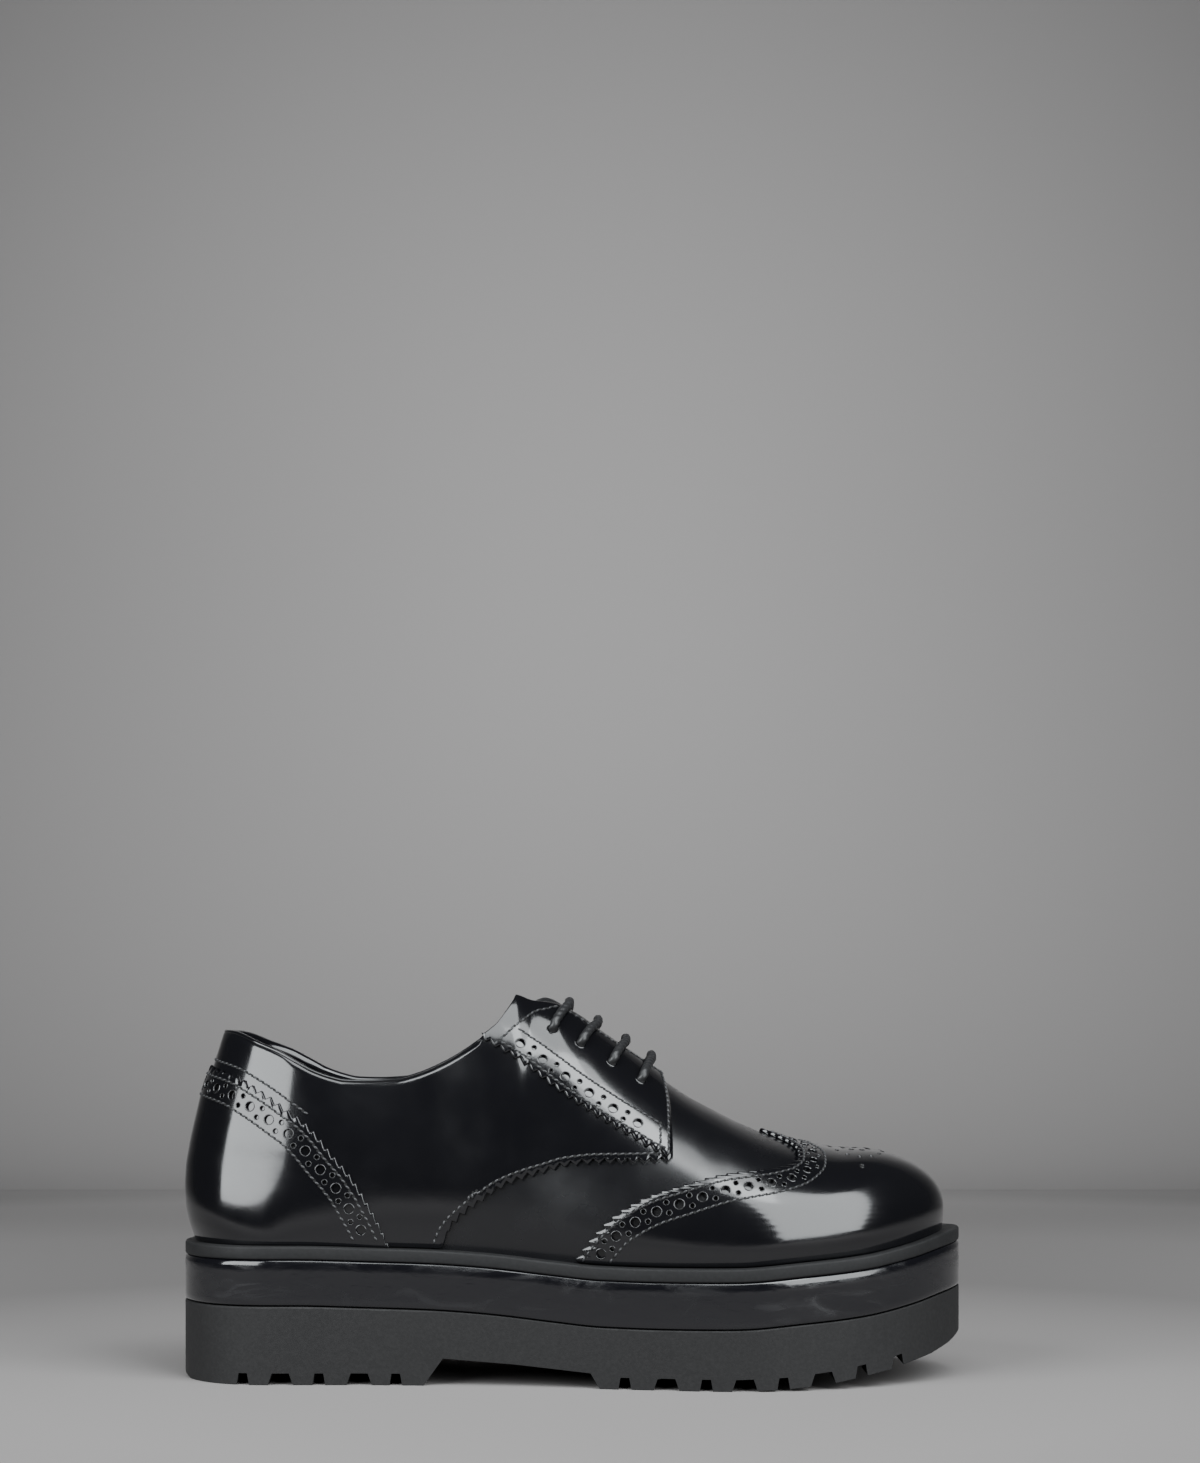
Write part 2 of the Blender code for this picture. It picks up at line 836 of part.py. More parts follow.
def make_welt():
    """A ring on the midsole's edge, around the foot of the upper."""
    bm = bmesh.new()
    count = 38
    kx, ky, kz = STRETCH
    outer, inner = [], []
    for side in (-1, 1):
        for k in range(count + 1):
            if side > 0 and k in (0, count):
                continue
            t = k / count
            place = sole_place(t)
            closing = rounding(place, SOLE_BACK, SOLE_FRONT, SOLE_HEEL_RADIUS, SOLE_TOE_RADIUS)
            y = middle_line(place) + side * half_width(place) * closing
            outer.append((side, k, Vector((place * kx, y * ky, 0.0)), place))
            foot = body_point(t, welt_rise(t, side, 0.2), side, GAP + 0.0002)
            inner.append(Vector((foot.x, foot.y, 0.0)))
    order = sorted(range(len(outer)), key=lambda i: (outer[i][0], outer[i][0] * -outer[i][1]))
    loops = []
    for points, places in (
        ([outer[i][2] for i in order], [outer[i][3] for i in order]),
        ([inner[i] for i in order], [inner[i].x / kx for i in order]),
    ):
        for top in (False, True):
            loop = []
            for p, place in zip(points, places):
                z = welt_top(place) * kz if top else welt_top(place) * kz - WELT_HEIGHT
                loop.append(bm.verts.new((p.x, p.y, z)))
            loops.append(loop)
    outer_low, outer_top, inner_low, inner_top = loops
    n = len(outer_low)
    for a, b in (
        (outer_low, outer_top),
        (outer_top, inner_top),
        (inner_top, inner_low),
        (inner_low, outer_low),
    ):
        for i in range(n):
            j = (i + 1) % n
            bm.faces.new((a[i], a[j], b[j], b[i]))
    bmesh.ops.recalc_face_normals(bm, faces=bm.faces[:])
    add("welt", bm, (0.06, 0.06, 0.062), 0.6)


def make_insole():
    """The board inside, on the midsole."""
    bm = bmesh.new()
    count = 28
    rings = []
    for z_share in (0.0, 1.0):
        left, right = [], []
        for k in range(count + 1):
            t = 0.01 + 0.98 * k / count
            for side, found in ((-1, left), (1, right)):
                p = body_point(t, -0.97 if z_share == 0 else -0.85, side, -(WALL + 2.8 * GAP))
                z = midsole_top(p.x / STRETCH[0]) + 1.4 * GAP + INSOLE_HEIGHT * z_share
                found.append(bm.verts.new((p.x, p.y, z)))
        rings.append((left, right))
    (left0, right0), (left1, right1) = rings
    for i in range(count):
        bm.faces.new((left0[i], left0[i + 1], left1[i + 1], left1[i]))
        bm.faces.new((right0[i + 1], right0[i], right1[i], right1[i + 1]))
        bm.faces.new((left1[i], left1[i + 1], right1[i + 1], right1[i]))
        bm.faces.new((left0[i + 1], left0[i], right0[i], right0[i + 1]))
    for i in (0, count):
        bm.faces.new((left0[i], right0[i], right1[i], left1[i]))
    bmesh.ops.recalc_face_normals(bm, faces=bm.faces[:])
    add("insole", bm, (0.03, 0.03, 0.03), 0.8)


make_outsole()
make_midsole()
make_welt()
make_insole()
make_upper()
make_tongue()
for shoe_side, side_name in SIDES:
    make_quarter(shoe_side, f"quarter_{side_name}")
    make_eyestay(shoe_side, f"eyestay_{side_name}")
make_counter()
make_cap()
make_laces()
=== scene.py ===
"""Looks of the brogue shoe: leathers, gimped edges, punched holes, stitch rows, lace and sole.

The form is the same last as in the part's source, worked out here again from the same tables. Sizes are in
millimetres while a shape is worked out, and are turned to metres when its mesh is made.
"""

import functools
import math
from bisect import bisect_right

import bpy
from mathutils import Matrix, Vector
from mathutils.kdtree import KDTree


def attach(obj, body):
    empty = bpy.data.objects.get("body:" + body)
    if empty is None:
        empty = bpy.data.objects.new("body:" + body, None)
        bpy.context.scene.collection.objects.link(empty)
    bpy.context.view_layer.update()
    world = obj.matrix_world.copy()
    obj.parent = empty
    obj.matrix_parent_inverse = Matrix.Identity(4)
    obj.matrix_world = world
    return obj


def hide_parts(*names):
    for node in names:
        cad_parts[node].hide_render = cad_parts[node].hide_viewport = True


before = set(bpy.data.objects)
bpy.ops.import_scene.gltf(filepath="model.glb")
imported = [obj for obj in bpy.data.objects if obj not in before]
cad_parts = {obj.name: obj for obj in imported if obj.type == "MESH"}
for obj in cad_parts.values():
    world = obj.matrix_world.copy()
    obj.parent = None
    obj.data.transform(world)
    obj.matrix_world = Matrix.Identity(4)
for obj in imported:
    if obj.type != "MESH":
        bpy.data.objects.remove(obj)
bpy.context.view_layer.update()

MM = 0.001

# Leathers and gaps, in millimetres.
WALL = 1.6
QUARTER_LEATHER = 1.45
BAND_LEATHER = 1.05
CAP_LEATHER = 1.45
WELT_HEIGHT = 4.0
MIDSOLE_HEIGHT = 15.3
GAP = 0.3
TONGUE_THICKNESS = 2.4
LACE_DIAMETER = 3.1
TREAD_DEPTH = 3.8
TREAD_SLOPE = 0.16
LEATHER_EDGE = 0.5
TOOTH_PITCH = 3.7
TOOTH_DEPTH = 1.9

# Heights over the last of the layers' faces, with a small gap under each layer.
LAY = 0.02
QUARTER_FACE = QUARTER_LEATHER + LAY
CAP_FACE = CAP_LEATHER + LAY
BAND_BASE = QUARTER_LEATHER + 0.03
BAND_FACE = BAND_BASE + BAND_LEATHER

# The last and the sole: ends, insets, radii seen from above, and how their ends close.
SOLE_BACK, SOLE_FRONT = -132.5, 132.5
BODY_BACK, BODY_FRONT = -130.3, 125.7
BODY_INSET = 5.0
THROAT_FRONT = 31.5
CORNER = -20.0
TUCK = 0.05
HEEL_RADIUS, TOE_RADIUS = 30.0, 71.0
SOLE_HEEL_RADIUS, SOLE_TOE_RADIUS = 33.0, 75.0
HEEL_SHARE, TOE_SHARE = 0.19, 0.33
HEEL_ROUNDING = 2.2
TOE_ROUNDING = 2.35
LEAN_RUN = 62.0
NOSE_START, NOSE_POWER = 95.0, 2.4
TOE_UNDERCUT, UNDERCUT_START, UNDERCUT_RUN = 1.1, 80.0, 45.0

# The heel is drawn in above the insole: where this starts, its run, how much it takes at the back, the
# height that it eases in over, and the larger radius that it gives the heel.
PINCH_FRONT, PINCH_RUN, PINCH_SHARE = -58.0, 46.0, 0.05
PINCH_HEIGHT = 34.0
PINCH_RADIUS = HEEL_RADIUS + 12.0

# Sole seen from above: place along the shoe, middle line (+ is the inner side), half width.
OUTLINE = (
    (-132.5, 0.0, 35.2),
    (-97.5, 0.0, 35.0),
    (-72.5, -0.4, 34.4),
    (-47.5, -2.0, 34.0),
    (-22.5, -3.4, 35.4),
    (2.5, -3.5, 39.5),
    (27.5, -2.5, 45.0),
    (49.5, -1.45, 49.5),
    (65.5, 0.0, 51.0),
    (82.5, 1.6, 51.0),
    (107.5, 3.6, 49.5),
    (132.5, 5.5, 47.0),
)

# Sole seen from the side: place, top of the welt.
WELT_TOP = (
    (-132.5, 45.6), (-92.5, 45.6), (-67.5, 45.0), (-48.5, 44.5), (-30.5, 43.5), (-5.5, 41.0),
    (9.5, 39.7), (30.0, 39.3), (53.5, 39.5), (74.5, 41.1), (96.5, 43.1), (112.5, 45.9), (124.5, 48.6),
    (132.5, 49.8),
)

# Underside of the outsole without its tread gaps: place, height.
UNDERSIDE = (
    (-132.5, 3.5), (-131.3, 1.2), (-128.5, 0.0), (-49.0, 0.0), (-42.6, 8.9), (-20.0, 7.4), (6.0, 5.0),
    (9.0, 0.0), (54.0, 0.0), (70.5, 0.7), (87.5, 2.5), (104.5, 5.5), (119.5, 9.2), (127.0, 12.0),
    (132.5, 15.0),
)

# Tread gaps across the sole: middle, width at the open side.
TREAD_GAPS = (
    (-108.8, 4.2), (-96.3, 8.3), (-83.6, 4.2), (-70.3, 8.3), (-58.2, 4.2), (17.2, 4.2), (30.7, 8.3),
    (43.6, 4.2), (56.0, 8.3), (68.6, 4.2), (81.7, 8.3), (94.6, 4.2), (107.2, 4.2),
)

# Sections of the last: place, height of the widest line above the welt, crest, fullness of the sides,
# fullness of the top, shift of the ridge to the inner side.
SECTIONS = (
    (-131.0, 19.4, 142.0, 2.20, 2.00, 0.0),
    (-110.0, 18.5, 138.0, 2.20, 2.00, 0.0),
    (-90.0, 17.5, 133.0, 2.30, 2.00, 0.3),
    (-75.0, 17.0, 130.0, 2.30, 2.00, 0.8),
    (-60.0, 17.0, 130.5, 2.30, 2.00, 1.4),
    (-45.0, 17.0, 132.5, 2.30, 2.00, 2.0),
    (-30.0, 17.0, 133.5, 2.25, 2.00, 2.6),
    (-20.0, 17.0, 131.5, 2.20, 2.00, 3.0),
    (-14.6, 15.5, 129.2, 2.05, 2.00, 3.1),
    (-6.0, 14.0, 126.0, 1.95, 2.00, 3.2),
    (0.6, 12.8, 122.0, 1.95, 2.00, 3.3),
    (9.1, 11.4, 115.4, 1.95, 2.00, 3.4),
    (18.6, 10.0, 108.6, 1.95, 2.00, 3.4),
    (27.9, 8.8, 102.0, 1.95, 2.00, 3.3),
    (38.9, 7.7, 94.4, 1.95, 2.00, 3.0),
    (49.2, 7.0, 88.9, 1.95, 2.00, 2.6),
    (57.1, 6.6, 84.9, 2.00, 2.00, 2.2),
    (67.9, 6.4, 80.6, 2.10, 2.00, 1.6),
    (79.8, 6.5, 77.2, 2.18, 2.02, 1.0),
    (92.4, 6.8, 75.2, 2.26, 2.12, 0.5),
    (104.0, 7.2, 75.0, 2.30, 2.20, 0.2),
    (125.7, 7.6, 74.6, 2.30, 2.20, 0.0),
)

# Back of the heel: height, how far it leans forward of its furthest point.
HEEL_LEAN = (
    (41.0, 5.6), (45.6, 3.9), (49.4, 2.5), (53.4, 1.2), (58.2, 0.3), (65.0, 0.0), (70.4, 0.2),
    (75.1, 0.9), (82.0, 2.2), (88.0, 3.6), (94.8, 5.2), (100.9, 7.2), (107.0, 9.3), (115.8, 12.0),
    (119.0, 13.0),
)

# Collar seen from the side: place, height of its edge.
COLLAR = (
    (-119.0, 117.2), (-114.0, 116.6), (-105.1, 113.0), (-97.9, 110.0), (-92.5, 107.0), (-86.5, 103.7),
    (-80.5, 101.6), (-75.8, 100.6), (-68.4, 100.4), (-59.1, 100.9), (-51.8, 102.7), (-41.9, 107.0),
    (-35.5, 110.8), (-31.0, 114.0), (-25.6, 118.3), (-22.5, 122.6), (-20.0, 126.4), (-10.0, 142.0),
)

# Throat seen from above: place, half width between the facings.
THROAT = (
    (-20.0, 12.5), (-14.6, 11.4), (-6.0, 8.2), (0.6, 7.5), (9.1, 7.0), (18.6, 6.2), (27.9, 5.2),
    (31.5, 4.8),
)

# Edges of the panels seen from the side: place, height.
QUARTER_LOW = (
    (-43.6, 43.3), (-41.0, 49.8), (-35.8, 55.4), (-29.8, 60.0), (-23.6, 64.3), (-17.4, 67.0),
    (-9.3, 69.5), (-1.7, 71.7), (8.3, 72.7), (19.1, 72.8), (33.6, 73.2),
)
EYESTAY_LOW = (
    (-30.2, 113.5), (-28.2, 112.0), (-19.3, 106.7), (-11.2, 100.8), (-3.3, 94.9), (4.4, 89.8),
    (12.4, 84.7), (20.4, 80.1), (26.9, 76.2), (31.0, 74.4),
)
COUNTER_TOP = (
    (-125.0, 105.2), (-112.0, 101.4), (-105.3, 97.8), (-99.9, 94.4), (-94.6, 90.6), (-89.5, 86.9),
    (-84.8, 82.3), (-79.5, 75.8), (-74.0, 69.6), (-67.9, 60.3), (-63.9, 53.1), (-60.2, 44.6),
)

# Wing cap: share of the way up from the welt to the crest, place of its edge.
CAP_EDGE = (
    (0.00, 0.0), (0.08, 5.2), (0.15, 10.7), (0.21, 16.9), (0.27, 25.1), (0.33, 35.9), (0.41, 50.4),
    (0.48, 65.8), (0.53, 71.5), (0.60, 74.2), (0.70, 74.6), (0.82, 72.5), (0.92, 68.0), (1.00, 62.5),
)

# Front edge of the quarter and the eyestay seen from the side: height, place.
FRONT_EDGE = (
    (73.4, 33.1), (77.6, 33.2), (82.7, 33.0), (91.4, 32.3), (96.5, 31.2), (101.5, 29.5),
)

# Stitch row round the back corner of the eyestay: place, height.
CORNER_ROW = (
    (-26.4, 111.0), (-24.2, 113.0), (-21.5, 115.4), (-18.9, 117.9), (-15.7, 120.4), (-12.4, 121.9),
    (-9.5, 122.3),
)

# Lace bars: place of the crossing, place of the eyelets, height of the eyelets.
LACE_BARS = (
    (-2.3, -7.3, 115.7),
    (6.9, 1.7, 111.0),
    (16.5, 12.1, 104.6),
    (25.1, 21.8, 98.6),
)

QUARTER_AT_WELT = -43.0
SIDES = ((-1, "lateral"), (1, "medial"))


def curve(rows, column=1):
    """A smooth line without overshoot through one column of a table, held level past its ends."""
    xs = [row[0] for row in rows]
    ys = [row[column] for row in rows]
    steps = [b - a for a, b in zip(xs, xs[1:])]
    rises = [(b - a) / h for a, b, h in zip(ys, ys[1:], steps)]
    slopes = [rises[0]]
    for left, right in zip(rises, rises[1:]):
        slopes.append(0.0 if left * right <= 0 else 2 * left * right / (left + right))
    slopes.append(rises[-1])

    def at(x):
        if x <= xs[0]:
            return ys[0]
        if x >= xs[-1]:
            return ys[-1]
        i = bisect_right(xs, x) - 1
        h = steps[i]
        t = (x - xs[i]) / h
        return (
            ys[i] * (1 + 2 * t) * (1 - t) ** 2
            + ys[i + 1] * t * t * (3 - 2 * t)
            + h * slopes[i] * t * (1 - t) ** 2
            + h * slopes[i + 1] * t * t * (t - 1)
        )

    return at


def straight(rows):
    """Straight lines through a two-column table."""

    def at(x):
        for (x0, y0), (x1, y1) in zip(rows, rows[1:]):
            if x <= x1:
                return y0 + (y1 - y0) * max(0.0, x - x0) / (x1 - x0)
        return rows[-1][1]

    return at


def solve(function, low, high, rounds=26):
    """Where a rising function passes zero between two values."""
    for _ in range(rounds):
        middle = (low + high) / 2
        if function(middle) < 0:
            low = middle
        else:
            high = middle
    return (low + high) / 2


def ease(t):
    t = min(1.0, max(0.0, t))
    return t * t * (3 - 2 * t)


def rounding(place, back, front, heel_radius, toe_radius):
    """How far the half width has closed towards the heel or the toe, from 1 to 0."""
    if place < back + heel_radius:
        t = (back + heel_radius - place) / heel_radius
        return math.sqrt(max(0.0, 1 - min(1.0, t) ** HEEL_ROUNDING))
    if place > front - toe_radius:
        t = (place - front + toe_radius) / toe_radius
        return math.sqrt(max(0.0, 1 - min(1.0, t) ** TOE_ROUNDING))
    return 1.0


middle_line = curve(OUTLINE, 1)
half_width = curve(OUTLINE, 2)
welt_top = curve(WELT_TOP)
underside = straight(UNDERSIDE)
bulge = curve(SECTIONS, 1)
crest_line = curve(SECTIONS, 2)
side_power = curve(SECTIONS, 3)
top_power = curve(SECTIONS, 4)
ridge_shift = curve(SECTIONS, 5)
heel_lean = curve(HEEL_LEAN)
collar = curve(COLLAR)
throat = curve(THROAT)
quarter_low = curve(QUARTER_LOW)
eyestay_low = curve(EYESTAY_LOW)
counter_top = curve(COUNTER_TOP)
cap_edge = curve(CAP_EDGE)
front_edge = curve(FRONT_EDGE)
corner_row = curve(CORNER_ROW)


def place_at(t, back=BODY_BACK, front=BODY_FRONT, heel_radius=HEEL_RADIUS, toe_radius=TOE_RADIUS):
    """Stations from heel (0) to toe (1), even around the heel and the toe."""
    if t < HEEL_SHARE:
        return back + heel_radius * (1 - math.cos(t / HEEL_SHARE * math.pi / 2))
    if t > 1 - TOE_SHARE:
        return front - toe_radius * (1 - math.cos((1 - t) / TOE_SHARE * math.pi / 2))
    k = (t - HEEL_SHARE) / (1 - TOE_SHARE - HEEL_SHARE)
    return back + heel_radius + k * (front - toe_radius - back - heel_radius)


def station_at(place):
    return solve(lambda t: place_at(t) - place, 0.0, 1.0)


def heel_pinch(place, closing):
    """How much of the half width the heel loses above the insole."""
    if place > PINCH_FRONT:
        return 0.0
    rounder = rounding(place, BODY_BACK, BODY_FRONT, PINCH_RADIUS, TOE_RADIUS)
    return 1 - rounder * (1 - PINCH_SHARE * ease((PINCH_FRONT - place) / PINCH_RUN)) / max(0.01, closing)


@functools.lru_cache(maxsize=None)
def section(t):
    """What one section of the last is made from."""
    place = place_at(t)
    closing = rounding(place, BODY_BACK, BODY_FRONT, HEEL_RADIUS, TOE_RADIUS)
    shift = ridge_shift(place) * closing
    widest = welt_top(place) + bulge(place)
    nose = max(0.0, (place - NOSE_START) / (BODY_FRONT - NOSE_START))
    crest = widest + (crest_line(place) - widest) * math.sqrt(max(0.0, 1 - nose**NOSE_POWER))
    return (
        place,
        middle_line(place) + shift,
        (half_width(place) - BODY_INSET) * closing,
        shift,
        welt_top(place) - WELT_HEIGHT + GAP,
        widest,
        crest,
        2 / side_power(place),
        2 / top_power(place),
        1 - ease((place - BODY_BACK) / LEAN_RUN),
        TOE_UNDERCUT * ease((place - UNDERCUT_START) / UNDERCUT_RUN),
        heel_pinch(place, closing),
    )


def form(t, rise, side):
    """A point of the last's face.

    rise runs from -1 at the bottom edge, by 0 at the widest line, to 1 at the crest; side is -1 on
    the outer side and 1 on the inner one.
    """
    if t < 0:
        t, side = -t, -side
    if t > 1:
        t, side = 2 - t, -side
    if rise > 1:
        rise, side = 2 - rise, -side
    place, ridge, half, shift, foot, widest, crest, side_bend, top_bend, leaning, nose, pinch = section(t)
    if rise < 0:
        aside = 1 - TUCK * rise * rise
        z = widest + rise * (widest - foot)
        place -= nose * rise * rise
    else:
        angle = rise * math.pi / 2
        aside = math.cos(angle) ** side_bend
        z = widest + (crest - widest) * math.sin(angle) ** top_bend
    drawn_in = 1 - pinch * ease((z - foot) / PINCH_HEIGHT)
    y = ridge + side * (half * drawn_in - side * shift) * aside
    if leaning > 0:
        place += heel_lean(z) * leaning
    return Vector((place, y, z))


def outward(t, rise, side):
    """The direction straight out of the last's face."""
    step = 0.0015
    along = form(t + step, rise, side) - form(t - step, rise, side)
    up = form(t, rise + step, side) - form(t, max(-1.0, rise - step), side)
    across = along.cross(up) * -side
    if across.length < 1e-9:
        return Vector((1.0, 0.0, 0.0))
    return across.normalized()


def rise_at_height(t, side, height_of):
    """Where a column meets a line given as height over place."""

    def over(rise):
        p = form(t, rise, side)
        return p.z - height_of(p.x)

    return solve(over, -1.0, 1.0)


def welt_rise(t, side, above):
    return rise_at_height(t, side, lambda x: welt_top(x) + above)


def collar_rise(t, side):
    """Upper edge of a column: the collar, then the facing's edge, then the crest."""
    place = place_at(t)
    if place >= THROAT_FRONT:
        return 1.0
    if place < CORNER:
        return rise_at_height(t, side, collar)
    middle = middle_line(place) + ridge_shift(place)
    return solve(lambda rise: throat(place) - abs(form(t, rise, side).y - middle), 0.0, 1.0)


SIDE_ROUNDS = 9


def side_point(place, height, side):
    """(station, rise) of a point given by its place and height in the side view."""
    base = place
    rise = 0.0
    for _ in range(SIDE_ROUNDS):
        t = station_at(base)
        rise = rise_at_height(t, side, lambda _: height)
        base = min(BODY_FRONT, max(BODY_BACK, base + place - form(t, rise, side).x))
    return station_at(base), rise


def lengths(points):
    """The distance run at each point of a line."""
    run = [0.0]
    for a, b in zip(points, points[1:]):
        run.append(run[-1] + (b - a).length)
    return run


def locate(run, want):
    """Which stretch of a line a distance falls in, and at what share of it."""
    i = min(len(run) - 2, max(0, bisect_right(run, want) - 1))
    return i, (want - run[i]) / max(1e-9, run[i + 1] - run[i])


def spread(first, last, count):
    """Even steps from one value to another."""
    return [first + (last - first) * k / count for k in range(count + 1)]


def top_spot(place, aside, least):
    """(station, rise, side) of a spot near the crest, given by its place and its distance aside."""
    t = station_at(place)
    side = -1 if aside <= 0 else 1
    middle = middle_line(place) + ridge_shift(place)
    rise = solve(lambda r: abs(aside) - abs(form(t, r, side).y - middle), least, 1.0)
    return t, rise, side


class Strip:
    """A line drawn on the last between two (station, rise) ends, measured by its length."""

    def __init__(self, path, side, fine=36):
        self.side = side
        self.marks = [path(k / fine) for k in range(fine + 1)]
        self.run = lengths([form(t, rise, side) for t, rise in self.marks])
        self.length = self.run[-1]

    def mark(self, distance):
        """(station, rise) at a distance along; past the ends it goes on straight."""
        i, share = locate(self.run, distance)
        (t0, r0), (t1, r1) = self.marks[i], self.marks[i + 1]
        return t0 + (t1 - t0) * share, r0 + (r1 - r0) * share

    def at(self, distance, out=0.0):
        t, rise = self.mark(distance)
        point = form(t, rise, self.side)
        return point + outward(t, rise, self.side) * out if out else point


def line_path(low, high):
    return lambda k: (low[0] + (high[0] - low[0]) * k, low[1] + (high[1] - low[1]) * k)


def edge_between(first, last, rise_of):
    """An edge between two stations as a function of the share along it."""

    def at(share):
        t = first + (last - first) * share
        return t, rise_of(t)

    return at


def even_shares(point_of, count, fine):
    """Shares that lie evenly along a line, so that teeth and stitches keep their pitch."""
    run = lengths([point_of(k / fine) for k in range(fine + 1)])
    places = [locate(run, run[-1] * k / count) for k in range(count + 1)]
    return [(i + part) / fine for i, part in places], run[-1]


def pick(pieces):
    """Selects some pieces and makes the first one active."""
    bpy.ops.object.select_all(action="DESELECT")
    for piece in pieces:
        piece.select_set(True)
    bpy.context.view_layer.objects.active = pieces[0]


def edit_mesh(*steps):
    """Takes steps of mesh editing on all of the active piece."""
    bpy.ops.object.mode_set(mode="EDIT")
    for step, values in steps:
        bpy.ops.mesh.select_all(action="SELECT")
        step(**values)
    bpy.ops.object.mode_set(mode="OBJECT")


def grid(name, columns):
    """A grid laid over columns of points, in millimetres, with the cell of each vertex."""
    nu, nv = len(columns) - 1, len(columns[0]) - 1
    bpy.ops.mesh.primitive_grid_add(x_subdivisions=nu, y_subdivisions=nv, size=1.0)
    piece = bpy.context.object
    piece.name = name
    piece.data.name = name
    cells = []
    for vertex in piece.data.vertices:
        i = round((vertex.co.x + 0.5) * nu)
        j = round((vertex.co.y + 0.5) * nv)
        cells.append((i, j))
        vertex.co = columns[i][j] * MM
    return piece, cells


def open_sheet(name, columns, left_out):
    """A grid without the faces that a rule leaves out."""
    piece, cells = grid(name, columns)
    bpy.ops.object.mode_set(mode="EDIT")
    bpy.ops.mesh.select_all(action="DESELECT")
    bpy.ops.object.mode_set(mode="OBJECT")
    for face in piece.data.polygons:
        i = min(cells[v][0] for v in face.vertices)
        j = min(cells[v][1] for v in face.vertices)
        face.select = left_out(i, j)
    bpy.ops.object.mode_set(mode="EDIT")
    bpy.ops.mesh.select_mode(type="FACE")
    bpy.ops.mesh.delete(type="FACE")
    bpy.ops.object.mode_set(mode="OBJECT")
    return piece


def clean(piece, angle=50.0):
    """Merges doubles, closes what is open at the ends and turns the faces outwards."""
    pick([piece])
    edit_mesh(
        (bpy.ops.mesh.remove_doubles, {"threshold": 1.5e-6}),
        (bpy.ops.mesh.dissolve_degenerate, {"threshold": 1e-6}),
        (bpy.ops.mesh.fill_holes, {"sides": 0}),
        (bpy.ops.mesh.normals_make_consistent, {"inside": False}),
    )
    bpy.ops.object.shade_smooth_by_angle(angle=math.radians(angle))
    return piece


def sheet(name, columns, angle=50.0):
    """A grid closed where its edges meet."""
    return clean(grid(name, columns)[0], angle)


def join(name, pieces):
    pick(pieces)
    if len(pieces) > 1:
        bpy.ops.object.join()
    made = bpy.context.object
    made.name = name
    made.data.name = name
    return made


def dress(piece, material, slot, *nodes):
    """Finishes a piece: its material, its body and the solids that it stands for. Its slot is not used."""
    piece.data.materials.clear()
    piece.data.materials.append(material)
    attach(piece, "root")
    if nodes:
        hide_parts(*nodes)
    return piece


def leather_column(strip, begin, finish, base, thickness, rows, edge, flat=False):
    """Points around one strip of a leather: its outer face, its rounded edges and its inner face."""
    edge = min(edge, (finish - begin) / 4)
    stops = [begin, begin + 0.3 * edge]
    stops += [begin + edge + (finish - begin - 2 * edge) * k / rows for k in range(rows + 1)]
    stops += [finish - 0.3 * edge, finish]
    if flat:
        line = [strip.at(stop, base + 0.2 * thickness) for stop in stops]
        return line + line[-2::-1]
    heights = [0.45, 0.85] + [1.0] * (rows + 1) + [0.85, 0.45]
    outer = [strip.at(stop, base + thickness * height) for stop, height in zip(stops, heights)]
    inner = [strip.at(stop, base) for stop in stops[-2:0:-1]]
    return outer + inner + outer[:1]


def leather_piece(name, strips, run, base, thickness, rows, start_cut=None, end_cut=None, closed_end=False):
    """A piece of leather over its strips, with its edges rounded and its ends closed."""
    last = len(strips) - 1
    edge = LEATHER_EDGE
    columns = []
    for k, strip in enumerate(strips):
        along = run * k / last
        begin = start_cut(along) if start_cut else 0.0
        finish = strip.length - (end_cut(along) if end_cut else 0.0)
        finish = max(finish, begin + 0.2)
        near = along if closed_end else min(along, run - along)
        thick = thickness * (0.45 + 0.55 * math.sin(math.pi / 2 * min(1.0, near / edge)))
        columns.append(leather_column(strip, begin, finish, base, thick, rows, edge))
        if k == 0 or (k == last and not closed_end):
            columns.append(leather_column(strip, begin, finish, base, thick, rows, edge, flat=True))
    columns[0], columns[1] = columns[1], columns[0]
    return sheet(name, columns)


def gimp_shares(point_of, fine=200):
    """Shares along an edge, four to a tooth, with the edge's length and its teeth."""
    run = even_shares(point_of, 4, fine)[1]
    teeth = round(run / TOOTH_PITCH)
    shares, run = even_shares(point_of, 4 * teeth, fine)
    pitch = run / teeth

    def tooth(along):
        return TOOTH_DEPTH * abs((along / pitch + 1e-6) % 1.0 * 2 - 1)

    return shares, run, tooth


def moved(t, rise, side, wanted):
    """(station, rise) after a small move over the last's face."""
    step = 0.002
    along = (form(t + step, rise, side) - form(t - step, rise, side)) / (2 * step)
    up = (form(t, rise + step, side) - form(t, rise - step, side)) / (2 * step)
    aa, uu, au = along.dot(along), up.dot(up), along.dot(up)
    wa, wu = wanted.dot(along), wanted.dot(up)
    whole = max(1e-6, aa * uu - au * au)
    return t + (wa * uu - wu * au) / whole, rise + (wu * aa - wa * au) / whole


SEAM_STEP = 0.7


def seam_line(line, side, inward, turn=1.0):
    """Points (station, rise) at a distance inside an edge, measured on the leather."""
    found = []
    last = len(line) - 1
    steps = max(2, round(abs(inward) / SEAM_STEP))
    for i, (t, rise) in enumerate(line):
        tangent = form(*line[min(last, i + 3)], side) - form(*line[max(0, i - 3)], side)
        for _ in range(steps):
            wanted = outward(t, rise, side).cross(tangent).normalized()
            t, rise = moved(t, rise, side, wanted * (inward * turn * -side / steps))
        found.append((t, rise))
    return found


